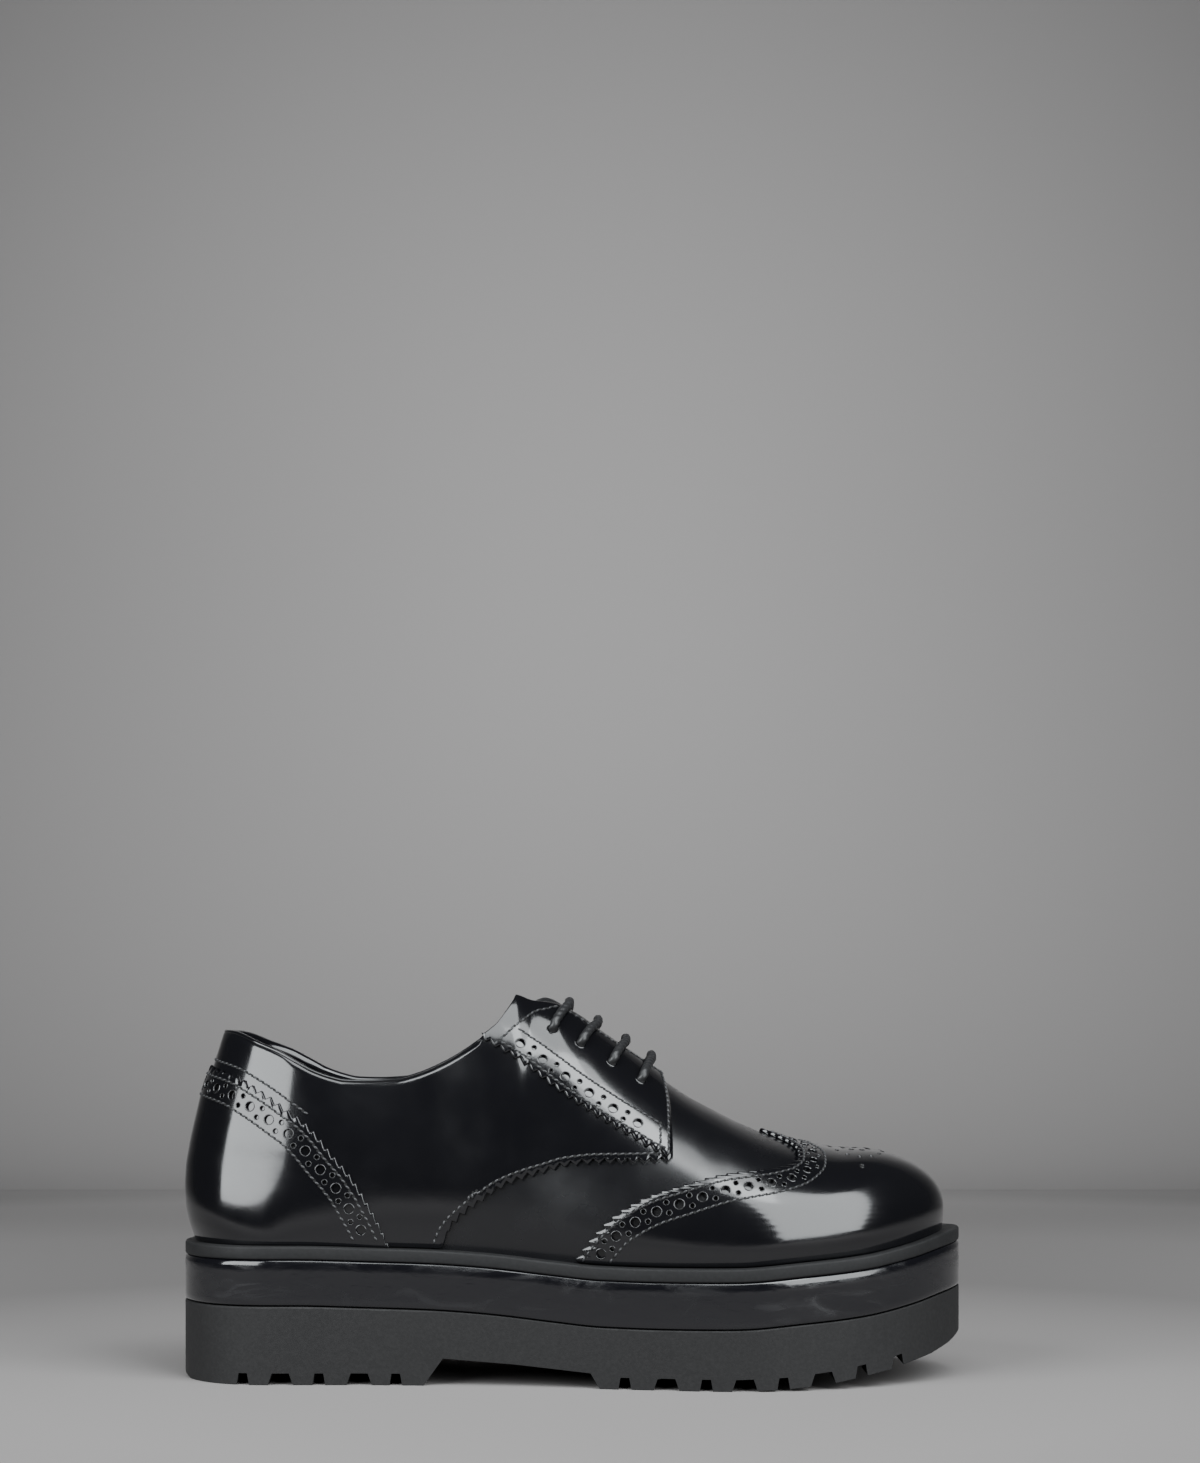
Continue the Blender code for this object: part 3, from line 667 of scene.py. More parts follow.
def along_line(line, side, pitch, lead=0.5):
    """Even places along a line: (station, rise, tangent)."""
    points = [form(t, rise, side) for t, rise in line]
    run = lengths(points)
    count = max(1, round(run[-1] / pitch))
    found = []
    for k in range(count):
        i, share = locate(run, (k + lead) * run[-1] / count)
        t = line[i][0] + (line[i + 1][0] - line[i][0]) * share
        rise = line[i][1] + (line[i + 1][1] - line[i][1]) * share
        found.append((t, rise, (points[i + 1] - points[i]).normalized()))
    return found


def stand(t, rise, side, tangent, out):
    """The matrix that puts a small thing on the leather, its X along the seam and its Z outwards."""
    normal = outward(t, rise, side)
    across = normal.cross(tangent).normalized()
    forward = across.cross(normal)
    place = (form(t, rise, side) + normal * out) * MM
    turned = Matrix((forward, across, normal)).transposed().to_4x4()
    turned.translation = place
    return turned


def copies(name, model, matrices):
    """Copies of a small thing, each with its own mesh, joined into one piece."""
    made = []
    for matrix in matrices:
        copy = bpy.data.objects.new(name, model.data.copy())
        copy.data.transform(matrix)
        bpy.context.scene.collection.objects.link(copy)
        made.append(copy)
    joined = join(name, made)
    bpy.data.objects.remove(model, do_unlink=True)
    return joined


# Camera at the photograph's height and distance; its picture is shifted up as the photograph is framed.
PHOTO_HEIGHT = 1463
CAMERA_DISTANCE = 0.900
CAMERA_HEIGHT = 0.118
CAMERA_PLACE = 0.0091
FOCAL_PIXELS = 2625
HORIZON_ROW = 1027


def make_camera():
    bpy.ops.object.camera_add(
        location=(CAMERA_PLACE, -CAMERA_DISTANCE, CAMERA_HEIGHT), rotation=(math.pi / 2, 0.0, 0.0)
    )
    camera = bpy.context.object
    camera.name = "photo_camera"
    camera.data.sensor_fit = "VERTICAL"
    camera.data.sensor_height = 36.0
    camera.data.lens = FOCAL_PIXELS / PHOTO_HEIGHT * 36.0
    camera.data.shift_y = (HORIZON_ROW - PHOTO_HEIGHT / 2) / PHOTO_HEIGHT
    camera.data.clip_start = 0.01
    bpy.context.scene.camera = camera


make_camera()


class Look:
    """Builds one material: a Principled shader with bump and roughness worked out in nodes."""

    def __init__(self, name, colour, roughness, coat=0.0, coat_roughness=0.03, specular=0.5):
        self.material = bpy.data.materials.new(name)
        self.material.use_nodes = True
        self.tree = self.material.node_tree
        self.shader = self.tree.nodes["Principled BSDF"]
        self.set("Base Color", (*colour, 1.0))
        self.set("Roughness", roughness)
        self.set("Coat Weight", coat)
        self.set("Coat Roughness", coat_roughness)
        self.set("Specular IOR Level", specular)
        self.place = self.node("ShaderNodeTexCoord").outputs["Object"]
        self.height = None

    def set(self, socket, value):
        self.shader.inputs[socket].default_value = value

    def node(self, kind, **values):
        made = self.tree.nodes.new(kind)
        for key, value in values.items():
            setattr(made, key, value)
        return made

    def link(self, output, socket):
        self.tree.links.new(output, socket)

    def noise(self, scale, detail=4.0, rough=0.55, stretch=(1.0, 1.0, 1.0), distortion=0.0):
        mapping = self.node("ShaderNodeMapping")
        mapping.inputs["Scale"].default_value = stretch
        self.link(self.place, mapping.inputs["Vector"])
        made = self.node("ShaderNodeTexNoise")
        self.link(mapping.outputs["Vector"], made.inputs["Vector"])
        made.inputs["Scale"].default_value = scale
        made.inputs["Detail"].default_value = detail
        made.inputs["Roughness"].default_value = rough
        made.inputs["Distortion"].default_value = distortion
        return made.outputs["Fac"]

    def cells(self, scale, feature="F1"):
        made = self.node("ShaderNodeTexVoronoi", feature=feature)
        self.link(self.place, made.inputs["Vector"])
        made.inputs["Scale"].default_value = scale
        return made.outputs["Distance"]

    def ramp(self, value, *stops):
        made = self.node("ShaderNodeValToRGB")
        ramp = made.color_ramp
        while len(ramp.elements) < len(stops):
            ramp.elements.new(0.5)
        for element, (position, colour) in zip(ramp.elements, stops):
            element.position = position
            level = colour if isinstance(colour, tuple) else (colour, colour, colour)
            element.color = (*level, 1.0)
        self.link(value, made.inputs["Fac"])
        return made.outputs["Color"]

    def bump(self, value, depth, strength=1.0):
        """Adds relief of a depth in millimetres, on top of what is there."""
        made = self.node("ShaderNodeBump")
        made.inputs["Strength"].default_value = strength
        made.inputs["Distance"].default_value = depth * MM
        self.link(value, made.inputs["Height"])
        if self.height:
            self.link(self.height, made.inputs["Normal"])
        self.height = made.outputs["Normal"]
        self.link(self.height, self.shader.inputs["Normal"])

    def vary(self, socket, value, low, high, start=0.3, end=0.7):
        """Lets a value of the shader wander between two levels."""
        self.link(self.ramp(value, (start, low), (end, high)), self.shader.inputs[socket])


def gloss_leather(name, roughness=0.10, wave=0.25, coat=0.6, coat_roughness=0.07):
    look = Look(name, (0.0035, 0.0035, 0.0045), roughness, coat=coat, coat_roughness=coat_roughness)
    look.vary("Roughness", look.noise(70.0, 5.0), roughness, roughness + 0.07)
    look.bump(look.noise(28.0, 2.0), wave)
    look.bump(look.noise(160.0, 3.0), 0.03)
    look.bump(look.cells(1500.0), 0.008, 0.5)
    return look.material


def wrap_leather():
    look = Look("platform_wrap", (0.004, 0.004, 0.0055), 0.2, coat=0.6, coat_roughness=0.06)
    look.vary("Roughness", look.noise(45.0, 6.0, 0.6, (1.0, 1.0, 3.0), 1.2), 0.12, 0.45, 0.45, 0.75)
    look.bump(look.noise(30.0, 3.0, 0.5, (1.0, 1.0, 2.2), 1.0), 0.18)
    look.bump(look.noise(150.0, 4.0, 0.5, (1.0, 1.0, 2.6), 1.0), 0.05)
    return look.material


def rubber(name, colour, roughness, grain):
    look = Look(name, colour, roughness, specular=0.25)
    speck = look.noise(900.0, 2.0)
    light = tuple(min(1.0, c * 1.35) for c in colour)
    look.link(look.ramp(speck, (0.38, colour), (0.75, light)), look.shader.inputs["Base Color"])
    look.vary("Roughness", look.noise(60.0, 4.0), roughness - 0.08, roughness + 0.1)
    look.bump(look.noise(1400.0, 3.0), grain)
    look.bump(look.noise(90.0, 3.0), 0.08)
    return look.material


def soft_leather(name, colour, roughness, grain=0.05):
    look = Look(name, colour, roughness, specular=0.4)
    look.vary("Roughness", look.noise(90.0, 4.0), roughness - 0.06, roughness + 0.1)
    look.bump(look.noise(40.0, 3.0), 0.3)
    look.bump(look.cells(900.0), grain)
    return look.material


def thread(name, colour, roughness):
    look = Look(name, colour, roughness, specular=0.5)
    look.bump(look.noise(1300.0, 2.0), 0.05)
    return look.material


LEATHER = gloss_leather("upper_leather")
VAMP_LOOK = gloss_leather("vamp_leather", roughness=0.22, wave=0.2, coat=0.3, coat_roughness=0.16)
CAP_LOOK = gloss_leather("cap_leather", roughness=0.11, wave=0.2, coat_roughness=0.1)
WRAP = wrap_leather()
WELT_RUBBER = rubber("welt_rubber", (0.011, 0.011, 0.0115), 0.62, 0.03)
SOLE_RUBBER = rubber("outsole_rubber", (0.0135, 0.0132, 0.0135), 0.62, 0.05)
LINING = soft_leather("lining_leather", (0.012, 0.012, 0.013), 0.42)
TONGUE_LEATHER = soft_leather("tongue_leather", (0.010, 0.010, 0.011), 0.32)
STITCH = thread("stitch_thread", (0.034, 0.034, 0.036), 0.3)
LACE = thread("waxed_lace", (0.014, 0.014, 0.015), 0.42)
# Near-black painted shade, on the discs that stand for the shade inside needle holes and eyelet holes.
HOLE_SHADE = thread("painted_hole_shade", (0.002, 0.002, 0.002), 0.8)


def quarter_edge(t, side):
    """Lower edge of the quarter: along the welt, then the gimped line up to the front corner."""
    return rise_at_height(t, side, lambda x: max(quarter_low(x), welt_top(x) + 0.3))


# How steeply the front edge's bow fades backwards and towards its two ends.
FRONT_BOW_FADE = 8
FRONT_BOW_ENDS = 0.25


def collar_strips(side, low, last_high, shares, behind):
    """Strips from an edge up to the collar or the facing's edge; the front edge's bow fades backwards."""
    foot = low(1.0)
    corner = (last_high, collar_rise(last_high, side))

    @functools.lru_cache(maxsize=None)
    def bow(k):
        t, rise = line_path(foot, corner)(k)
        return station_at(front_edge(form(t, rise, side).z) - behind) - t

    strips = []
    first = low(0.0)[0]
    for share in shares:
        t = first + (last_high - first) * share
        straight_path = line_path(low(share), (t, collar_rise(t, side)))

        def path(k, straight_path=straight_path, share=share):
            t, rise = straight_path(k)
            return t + bow(k) * share**FRONT_BOW_FADE * math.sin(math.pi * k) ** FRONT_BOW_ENDS, rise

        strips.append(Strip(path, side))
    return strips


def heel_side(t):
    """Round the heel the stations go on below 0, over the outer side."""
    return 1 if t > 0 else -1


def strip_to_collar(t, from_rise):
    return Strip(line_path((t, from_rise), (t, collar_rise(abs(t), heel_side(t)))), 1)


ROLL_END = station_at(-30.6)
VAMP_BACK = -47.0
VAMP_CLOSES = 28.0
VAMP_LAP = 0.13
VAMP_LEATHER = 0.55


def vamp_top(t, side):
    """Top of the vamp: hidden under the quarter, then over the crest in front of the facings."""
    place = place_at(t)
    if place >= VAMP_CLOSES:
        return 1.0
    hidden = min(0.9, quarter_edge(t, side) + VAMP_LAP)
    return hidden + (1 - hidden) * ease((place - VAMP_CLOSES + 6.0) / 6.0)


# Creases: place, rise, length, width in rise, height over the leather.
CREASES = (
    (40.0, 0.62, 6.0, 0.30, 0.14),
    (48.0, 0.50, 5.0, 0.34, -0.16),
    (56.0, 0.66, 6.0, 0.26, 0.10),
    (22.0, 0.02, 9.0, 0.16, -0.12),
    (5.0, -0.05, 8.0, 0.18, 0.10),
)


def crease(t, rise):
    """Soft troughs and ridges of the vamp, where the foot bends it."""
    place = place_at(min(t, 1.0))
    depth = 0.0
    for at, height, length, width, amount in CREASES:
        away = ((place - at) / length) ** 2 + ((rise - height) / width) ** 2
        if away < 9:
            depth += amount * math.exp(-away)
    return depth


def make_vamp():
    """Vamp from under the quarters to the toe, both sides meeting over the crest."""
    rows = 60
    halves = []
    for side, _ in SIDES:
        columns, open_top = [], []
        for t in spread(station_at(VAMP_BACK), 1.0, 190):
            top = vamp_top(t, side)
            strip = Strip(line_path((t, -1.0), (t, top)), side, 50)
            outer, inner = [], []
            for k in range(rows + 1):
                stop = strip.length * k / rows
                fold = crease(*strip.mark(stop))
                outer.append(strip.at(stop, fold))
                inner.append(strip.at(stop, fold - VAMP_LEATHER))
            columns.append(outer + inner[::-1] + outer[:1])
            open_top.append(top >= 1.0)

        def left_out(i, j, open_top=open_top):
            return j == rows and open_top[i] and open_top[i + 1]

        halves.append(open_sheet(f"vamp_half_{side}", columns, left_out))
    vamp = clean(join("vamp", halves))
    dress(vamp, VAMP_LOOK, "black_gloss_leather", "upper")


def make_back_wall():
    """Lining and wall of the quarters and the heel."""
    stations, rows = 250, 34
    run = 350.0
    reach = station_at(28.4)
    places = spread(-reach, reach, stations)
    strips = [strip_to_collar(t, -1.0) for t in places]

    def top(along):
        return 2.4 if abs(places[round(along / run * stations)]) < ROLL_END else 0.0

    piece = leather_piece("back_wall", strips, run, -WALL, WALL - 0.4, rows, end_cut=top)
    dress(piece, LINING, "black_gloss_leather", "upper")


# The quarters stop this little short of each other at the heel, as a station; at the collar they stop
# under the rolled binding.
BACK_SEAM = 0.0004
QUARTER_UNDER_ROLL = 1.1


def make_quarter(side, name):
    """Quarter: its lower edge is gimped from the front corner back to the welt."""
    last_high = station_at(29.6)
    low = edge_between(BACK_SEAM, station_at(33.1), lambda t: quarter_edge(t, side))
    shares, run, tooth = gimp_shares(lambda k: form(*low(k), side))
    strips = collar_strips(side, low, last_high, shares, 0.0)
    last = len(shares) - 1

    def gimp(along):
        t = low(shares[round(along / run * last)])[0]
        return tooth(along) * ease((place_at(t) - QUARTER_AT_WELT) / 3.0)

    def top(along):
        share = shares[round(along / run * last)]
        return QUARTER_UNDER_ROLL if BACK_SEAM + (last_high - BACK_SEAM) * share < ROLL_END else 0.0

    piece = leather_piece(name, strips, run, LAY, QUARTER_LEATHER, 34, gimp, top)
    dress(piece, LEATHER, "black_gloss_leather", name)
    piece.name = name.replace("_", "_form_")


def eyestay_low_edge(side):
    """Gimped edge of the eyestay."""
    return edge_between(
        station_at(-30.3), station_at(32.6), lambda t: rise_at_height(t, side, eyestay_low)
    )


def make_eyestay(side, name):
    low = eyestay_low_edge(side)
    shares, run, tooth = gimp_shares(lambda k: form(*low(k), side))
    strips = collar_strips(side, low, station_at(29.1), shares, 0.5)
    piece = leather_piece(name, strips, run, BAND_BASE, BAND_LEATHER, 26, tooth)
    punch(piece, punched[name])
    dress(piece, LEATHER, "black_gloss_leather", name)
    piece.name = name.replace("_", "_form_")


def counter_edge():
    """Gimped top edge of the counter from wing end to wing end round the heel."""
    last = station_at(-60.4)
    return edge_between(-last, last, lambda t: rise_at_height(abs(t), heel_side(t), counter_top))


def make_counter():
    high = counter_edge()
    shares, run, tooth = gimp_shares(lambda k: form(*high(k), 1), 300)
    strips = []
    for share in shares:
        t, rise = high(share)
        low = welt_rise(abs(t), heel_side(t), 0.3)
        strips.append(Strip(line_path((t, min(low, rise - 0.004)), (t, rise)), 1))
    piece = leather_piece("heel_counter_form", strips, run, BAND_BASE, BAND_LEATHER, 26, end_cut=tooth)
    punch(piece, punched["heel_counter"])
    dress(piece, LEATHER, "black_gloss_leather", "heel_counter")


CAP_GRID = 150


@functools.lru_cache(maxsize=None)
def cap_column(index, side):
    t = index / CAP_GRID
    return Strip(line_path((t, welt_rise(t, side, 0.3)), (t, 1.0)), side, 40)


def cap_rise(t, side, share):
    """Rise of the point at a share of the way up from the welt to the crest."""
    if t > 1:
        t, side = 2 - t, -side
    index = min(CAP_GRID - 1, int(t * CAP_GRID))
    part = t * CAP_GRID - index
    near, far = cap_column(index, side), cap_column(index + 1, side)
    low, high = near.mark(near.length * share)[1], far.mark(far.length * share)[1]
    return min(1.0, low + (high - low) * part)


def cap_edge_line(side):
    """Gimped W edge of the cap as a function of the share from the welt to the crest."""

    def edge(share):
        t = station_at(cap_edge(share))
        return t, cap_rise(t, side, share)

    return edge


def make_cap():
    edge = cap_edge_line(-1)
    shares, run, tooth = gimp_shares(lambda k: form(*edge(k), -1), 240)
    strips = []
    for share in shares:
        start = station_at(cap_edge(share))

        def path(k, start=start, share=share):
            t = start + (2 - 2 * start) * k
            return t, cap_rise(t, -1, share)

        strips.append(Strip(path, -1, 96))
    piece = leather_piece("toe_cap_form", strips, run, LAY, CAP_LEATHER, 64, tooth, tooth, closed_end=True)
    punch(piece, punched["toe_cap"])
    dress(piece, CAP_LOOK, "black_gloss_leather", "toe_cap")


# Section of the rolled binding: distance past the collar's edge, distance out of the last.
ROLL = (
    (-1.30, 1.10), (-1.25, 1.38), (-0.95, 1.50), (-0.50, 1.40), (-0.15, 0.95), (0.00, 0.30),
    (-0.05, -0.50), (-0.40, -1.30), (-1.20, -1.85), (-2.40, -2.10), (-4.20, -2.20), (-6.40, -2.10),
    (-7.20, -1.90), (-7.30, -1.60), (-5.00, -1.30), (-2.40, -0.90), (-1.70, 0.20), (-1.30, 1.10),
)


def make_collar_roll():
    """Rolled binding round the topline, from facing to facing."""
    columns = []
    for t in spread(-ROLL_END, ROLL_END, 220):
        strip = strip_to_collar(t, 0.2)
        columns.append([strip.at(strip.length + down, out) for down, out in ROLL])
    dress(sheet("collar_roll", columns, 65.0), LEATHER, "black_gloss_leather")


# Tongue: its ends, half width, round corners and depth under the last; its bow and its crown between the
# facings, which lift it over a strip in the middle.
TONGUE_BACK, TONGUE_FRONT, TONGUE_HALF = -12.8, 40.0, 17.5
TONGUE_CORNER = 11.0
TONGUE_DEPTH = WALL + 0.9 + TONGUE_THICKNESS
BOW, BOW_RUN = 2.4, 26.0
CROWN, CROWN_PLACE, CROWN_RUN = 3.0, -9.5, 6.0
LIFTED_HALF = 9.0


def make_tongue():
    """Tongue under the facings: its middle lifts between them, its top is cut round."""
    columns = []
    for i, place in enumerate(spread(TONGUE_BACK, TONGUE_FRONT, 70)):
        behind = place - TONGUE_BACK
        rounded = math.sqrt(max(0.0, 1 - (1 - min(1.0, (behind + 1.2) / TONGUE_CORNER)) ** 2.2))
        lift = BOW * math.sin(math.pi * ease(behind / BOW_RUN))
        lift += CROWN * math.exp(-(((place - CROWN_PLACE) / CROWN_RUN) ** 2))
        thick = TONGUE_THICKNESS * math.sqrt(min(1.0, (i + 0.6) / 4))
        over, under = [], []
        for v in spread(-1.0, 1.0, 40):
            aside = v * TONGUE_HALF * rounded
            t, rise, side = top_spot(place, aside, 0.0)
            middle = max(0.0, 1 - (aside / LIFTED_HALF) ** 2)
            low = lift * middle - TONGUE_DEPTH
            rim = math.sqrt(max(0.12, 1 - abs(v) ** 8))
            face = form(t, rise, side)
            normal = outward(t, rise, side)
            over.append(face + normal * (low + thick * rim))
            under.append(face + normal * low)
        columns.append(over + under[::-1] + over[:1])
    dress(sheet("tongue_form", columns, 60.0), TONGUE_LEATHER, "tongue_leather", "tongue")


def smooth_path(points, rounds=3):
    """Rounds the corners of a path and keeps its ends."""
    for _ in range(rounds):
        cut = [points[0]]
        for a, b in zip(points, points[1:]):
            cut += [a.lerp(b, 0.25), a.lerp(b, 0.75)]
        points = cut + [points[-1]]
    return points


def even_path(points, spacing):
    """Even points along a path."""
    run = lengths(points)
    count = max(4, round(run[-1] / spacing))
    places = [locate(run, run[-1] * k / count) for k in range(count + 1)]
    return [points[i].lerp(points[i + 1], share) for i, share in places]


# Length of one turn of the strands, corners of the cord's mesh.
LACE_LAY = 5.2
CORD_SIDES = 14


def twisted_cord(name, path, radius):
    """A cord of two waxed strands laid round each other along a path."""
    columns = []
    ahead = (path[1] - path[0]).normalized()
    across = ahead.cross(Vector((0.0, 0.0, 1.0))).normalized()
    travelled = 0.0
    for i, point in enumerate(path):
        tangent = (path[min(len(path) - 1, i + 1)] - path[max(0, i - 1)]).normalized()
        across = (across - tangent * across.dot(tangent)).normalized()
        up = tangent.cross(across)
        if i:
            travelled += (point - path[i - 1]).length
        turn = 2 * math.pi * travelled / LACE_LAY
        ring = []
        for j in range(CORD_SIDES + 1):
            angle = 2 * math.pi * (j % CORD_SIDES) / CORD_SIDES
            swell = radius * (0.84 + 0.2 * abs(math.cos(angle - turn)) ** 0.9)
            ring.append(point + across * (swell * math.cos(angle)) + up * (swell * math.sin(angle)))
        columns.append(ring)
    return sheet(name, columns, 80.0)


# A bar crosses a little behind its place and arches between the facings.
LACE_SLANT = 0.6
LACE_ARCH = 1.5


def lace_path(crossing, eyelet, height):
    """From inside one eyelet, over both facings' edges, into the other eyelet."""
    top = QUARTER_LEATHER + BAND_LEATHER + 0.05
    radius = LACE_DIAMETER / 2
    legs = []
    for side, _ in SIDES:
        t_eyelet, rise_eyelet = side_point(eyelet, height, side)
        t_edge = station_at(crossing - LACE_SLANT)
        rise_edge = collar_rise(t_edge, side)
        leg = []
        for share, out in (
            (-0.03, top - 2.2),
            (0.0, top - 0.6),
            (0.05, top + radius * 0.9),
            (0.16, top + radius + 0.25),
            (0.4, top + radius + 0.1),
            (0.7, top + radius + 0.1),
            (0.93, top + radius + 0.15),
        ):
            t = t_eyelet + (t_edge - t_eyelet) * share
            rise = rise_eyelet + (rise_edge - rise_eyelet) * share
            leg.append(form(t, rise, side) + outward(t, rise, side) * out)
        legs.append(leg)
    left, right = legs[0], legs[1][::-1]
    arch = []
    for k in range(1, 6):
        share = k / 6
        point = left[-1].lerp(right[0], share)
        point.z += LACE_ARCH * math.sin(math.pi * share) ** 0.8
        arch.append(point)
    return even_path(smooth_path(left + arch + right), 0.42)


def make_laces():
    for number, (crossing, eyelet, height) in enumerate(LACE_BARS, 1):
        cord = twisted_cord(f"lace_bar_{number}", lace_path(crossing, eyelet, height), LACE_DIAMETER / 2)
        dress(cord, LACE, "waxed_lace", f"lace_{number}")


def sole_place(t):
    return place_at(t, SOLE_BACK, SOLE_FRONT, SOLE_HEEL_RADIUS, SOLE_TOE_RADIUS)


def sole_closing(place):
    return rounding(place, SOLE_BACK, SOLE_FRONT, SOLE_HEEL_RADIUS, SOLE_TOE_RADIUS)


def sole_layer(name, places, levels, angle=40.0):
    """A layer of the sole: a loop round it at every place, each level given by its inset and height."""
    columns = []
    for place in places:
        closing = sole_closing(place)
        share = (place - SOLE_BACK) / (SOLE_FRONT - SOLE_BACK)
        left, right = [], []
        for inset, height in levels:
            along = SOLE_BACK + inset + share * (SOLE_FRONT - SOLE_BACK - 2 * inset)
            half = (half_width(place) - inset) * closing
            z = height(along)
            left.append(Vector((along, middle_line(place) - half, z)))
            right.append(Vector((along, middle_line(place) + half, z)))
        between = spread(0.0, 1.0, 6)[1:-1]
        over = [left[-1].lerp(right[-1], part) for part in between]
        under = [right[0].lerp(left[0], part) for part in between]
        columns.append(left + over + right[::-1] + under + left[:1])
    return sheet(name, columns, angle)


def midsole_top(place):
    return welt_top(place) - WELT_HEIGHT - GAP


def outsole_top(place):
    return midsole_top(place) - MIDSOLE_HEIGHT - GAP


def tread(place):
    """Height of the underside with the gaps between its lugs."""
    low = underside(place)
    for middle, width in TREAD_GAPS:
        inside_gap = (width / 2 - abs(place - middle)) / (width * TREAD_SLOPE)
        low += TREAD_DEPTH * min(1.0, max(0.0, inside_gap))
    return low


def make_outsole():
    """The outsole with its lugs."""
    marks = {sole_place(k / 240) for k in range(241)} | {row[0] for row in UNDERSIDE}
    for middle, width in TREAD_GAPS:
        for side in (-1, 1):
            marks |= {middle + side * width / 2, middle + side * width * (0.5 - TREAD_SLOPE)}
    places = []
    for mark in sorted(marks):
        if not places or mark - places[-1] > 0.1:
            places.append(mark)
    places[-1] = SOLE_FRONT

    def part_way(share):
        return lambda x: tread(x) + (outsole_top(x) - tread(x)) * share

    levels = ((0.0, tread), (0.0, part_way(0.5)), (0.0, part_way(0.98)), (0.35, outsole_top))
    piece = sole_layer("outsole_form", places, levels, 20.0)
    dress(piece, SOLE_RUBBER, "outsole_rubber", "outsole")


# Side of the platform: inset, height above its underside.
PLATFORM_EDGE = (
    (0.9, 0.0), (0.45, 0.12), (0.12, 0.45), (0.0, 1.0), (0.0, 2.4), (0.0, 5.0), (0.0, 8.0), (0.0, 11.0),
    (0.0, 13.2), (0.12, 14.2), (0.42, 14.9), (0.85, 15.2), (1.4, 15.3),
)


def make_midsole():
    """The platform: wrapped in leather that is turned over its edges."""

    def at(height):
        return lambda x: outsole_top(x) + GAP + height

    levels = [(inset, at(height)) for inset, height in PLATFORM_EDGE]
    piece = sole_layer("platform_form", [sole_place(k / 260) for k in range(261)], levels)
    dress(piece, WRAP, "platform_wrap", "midsole")


# Section of the welt: share of the way outwards, height.
WELT_SECTION = (
    (0.0, 4.0), (0.5, 4.0), (0.86, 4.0), (0.95, 3.9), (0.985, 3.65), (1.0, 3.2), (1.0, 1.6), (1.0, 0.3),
    (0.985, -0.1), (0.95, -0.25), (0.5, -0.25), (0.0, -0.25), (0.0, 2.0), (0.0, 4.0),
)


def make_welt():
    """Welt round the foot of the upper, with its outer edge rounded."""
    count = 300
    columns = []
    for i in range(2 * count):
        side = -1 if i <= count else 1
        t = i / count if i <= count else 2 - i / count
        place = sole_place(t)
        closing = sole_closing(place)
        outer = Vector((place, middle_line(place) + side * half_width(place) * closing, 0.0))
        inner = form(t, welt_rise(t, side, 0.2), side) - outward(t, 0.0, side) * 0.6
        loop = []
        for share, height in WELT_SECTION:
            point = Vector((inner.x, inner.y, 0.0)).lerp(outer, share)
            point.z = welt_top(point.x) - WELT_HEIGHT + height
            loop.append(point)
        columns.append(loop)
    columns.append(columns[0])
    dress(sheet("welt_form", columns), WELT_RUBBER, "welt_strip", "welt")


STITCH_LENGTH, STITCH_SLANT, STITCH_PITCH = 1.68, 0.24, 2.4


def stitch_model():
    """One stitch, lying along X and a little aslant."""
    bpy.ops.mesh.primitive_uv_sphere_add(segments=6, ring_count=5, radius=1.0, location=(0, 0, 0))
    model = bpy.context.object
    for vertex in model.data.vertices:
        x, y, z = vertex.co
        along = STITCH_LENGTH / 2 * z
        vertex.co = (along * MM, (0.42 * y + STITCH_SLANT * along) * MM, -0.40 * x * MM)
    bpy.ops.object.shade_smooth()
    return model


def hole_rim_model(radius, lip):
    """Pressed rim of one punched hole of a radius."""
    profile = (
        (radius + lip, -0.06),
        (radius + lip * 0.55, 0.10),
        (radius + 0.02, 0.07),
        (radius - 0.06, -0.25),
    )
    around = 18
    columns = []
    for k in range(around + 1):
        angle = 2 * math.pi * (k % around) / around
        columns.append([Vector((r * math.cos(angle), r * math.sin(angle), z)) for r, z in profile])
    piece = grid("hole_rim", columns)[0]
    edit_mesh(
        (bpy.ops.mesh.remove_doubles, {"threshold": 1e-6}),
        (bpy.ops.mesh.normals_make_consistent, {"inside": False}),
    )
    bpy.ops.object.shade_smooth()
    return piece


def disc_model(radius, vertices):
    """A small dark disc with a dished middle, which carries the painted shade of a hole."""
    bpy.ops.mesh.primitive_circle_add(vertices=vertices, radius=radius * MM, fill_type="NGON")
    edit_mesh((bpy.ops.mesh.inset, {"thickness": 0.3 * radius * MM, "depth": -0.04 * MM}))
    return bpy.context.object


def punch(piece, places):
    """Cuts holes right through a piece of leather; each place is a matrix and a radius."""
    cutters = []
    for radius in sorted({radius for _, radius in places}):
        vertices = 20 if radius > 1.2 else 12
        bpy.ops.mesh.primitive_cylinder_add(vertices=vertices, radius=radius * MM, depth=4.4 * MM)
        cutter = bpy.context.object
        cutters.append(copies("punch", cutter, [matrix for matrix, r in places if r == radius]))
    tool = join("punch", cutters)
    cut = piece.modifiers.new("punched", "BOOLEAN")
    cut.operation = "DIFFERENCE"
    cut.solver = "MANIFOLD"
    cut.object = tool
    smooth = KDTree(len(piece.data.vertices))
    normals = [vertex.normal.copy() for vertex in piece.data.vertices]
    for vertex in piece.data.vertices:
        smooth.insert(vertex.co, vertex.index)
    smooth.balance()
    pick([piece])
    bpy.ops.object.modifier_apply(modifier=cut.name)
    bpy.data.objects.remove(tool, do_unlink=True)
    keep_smooth(piece.data, smooth, normals)


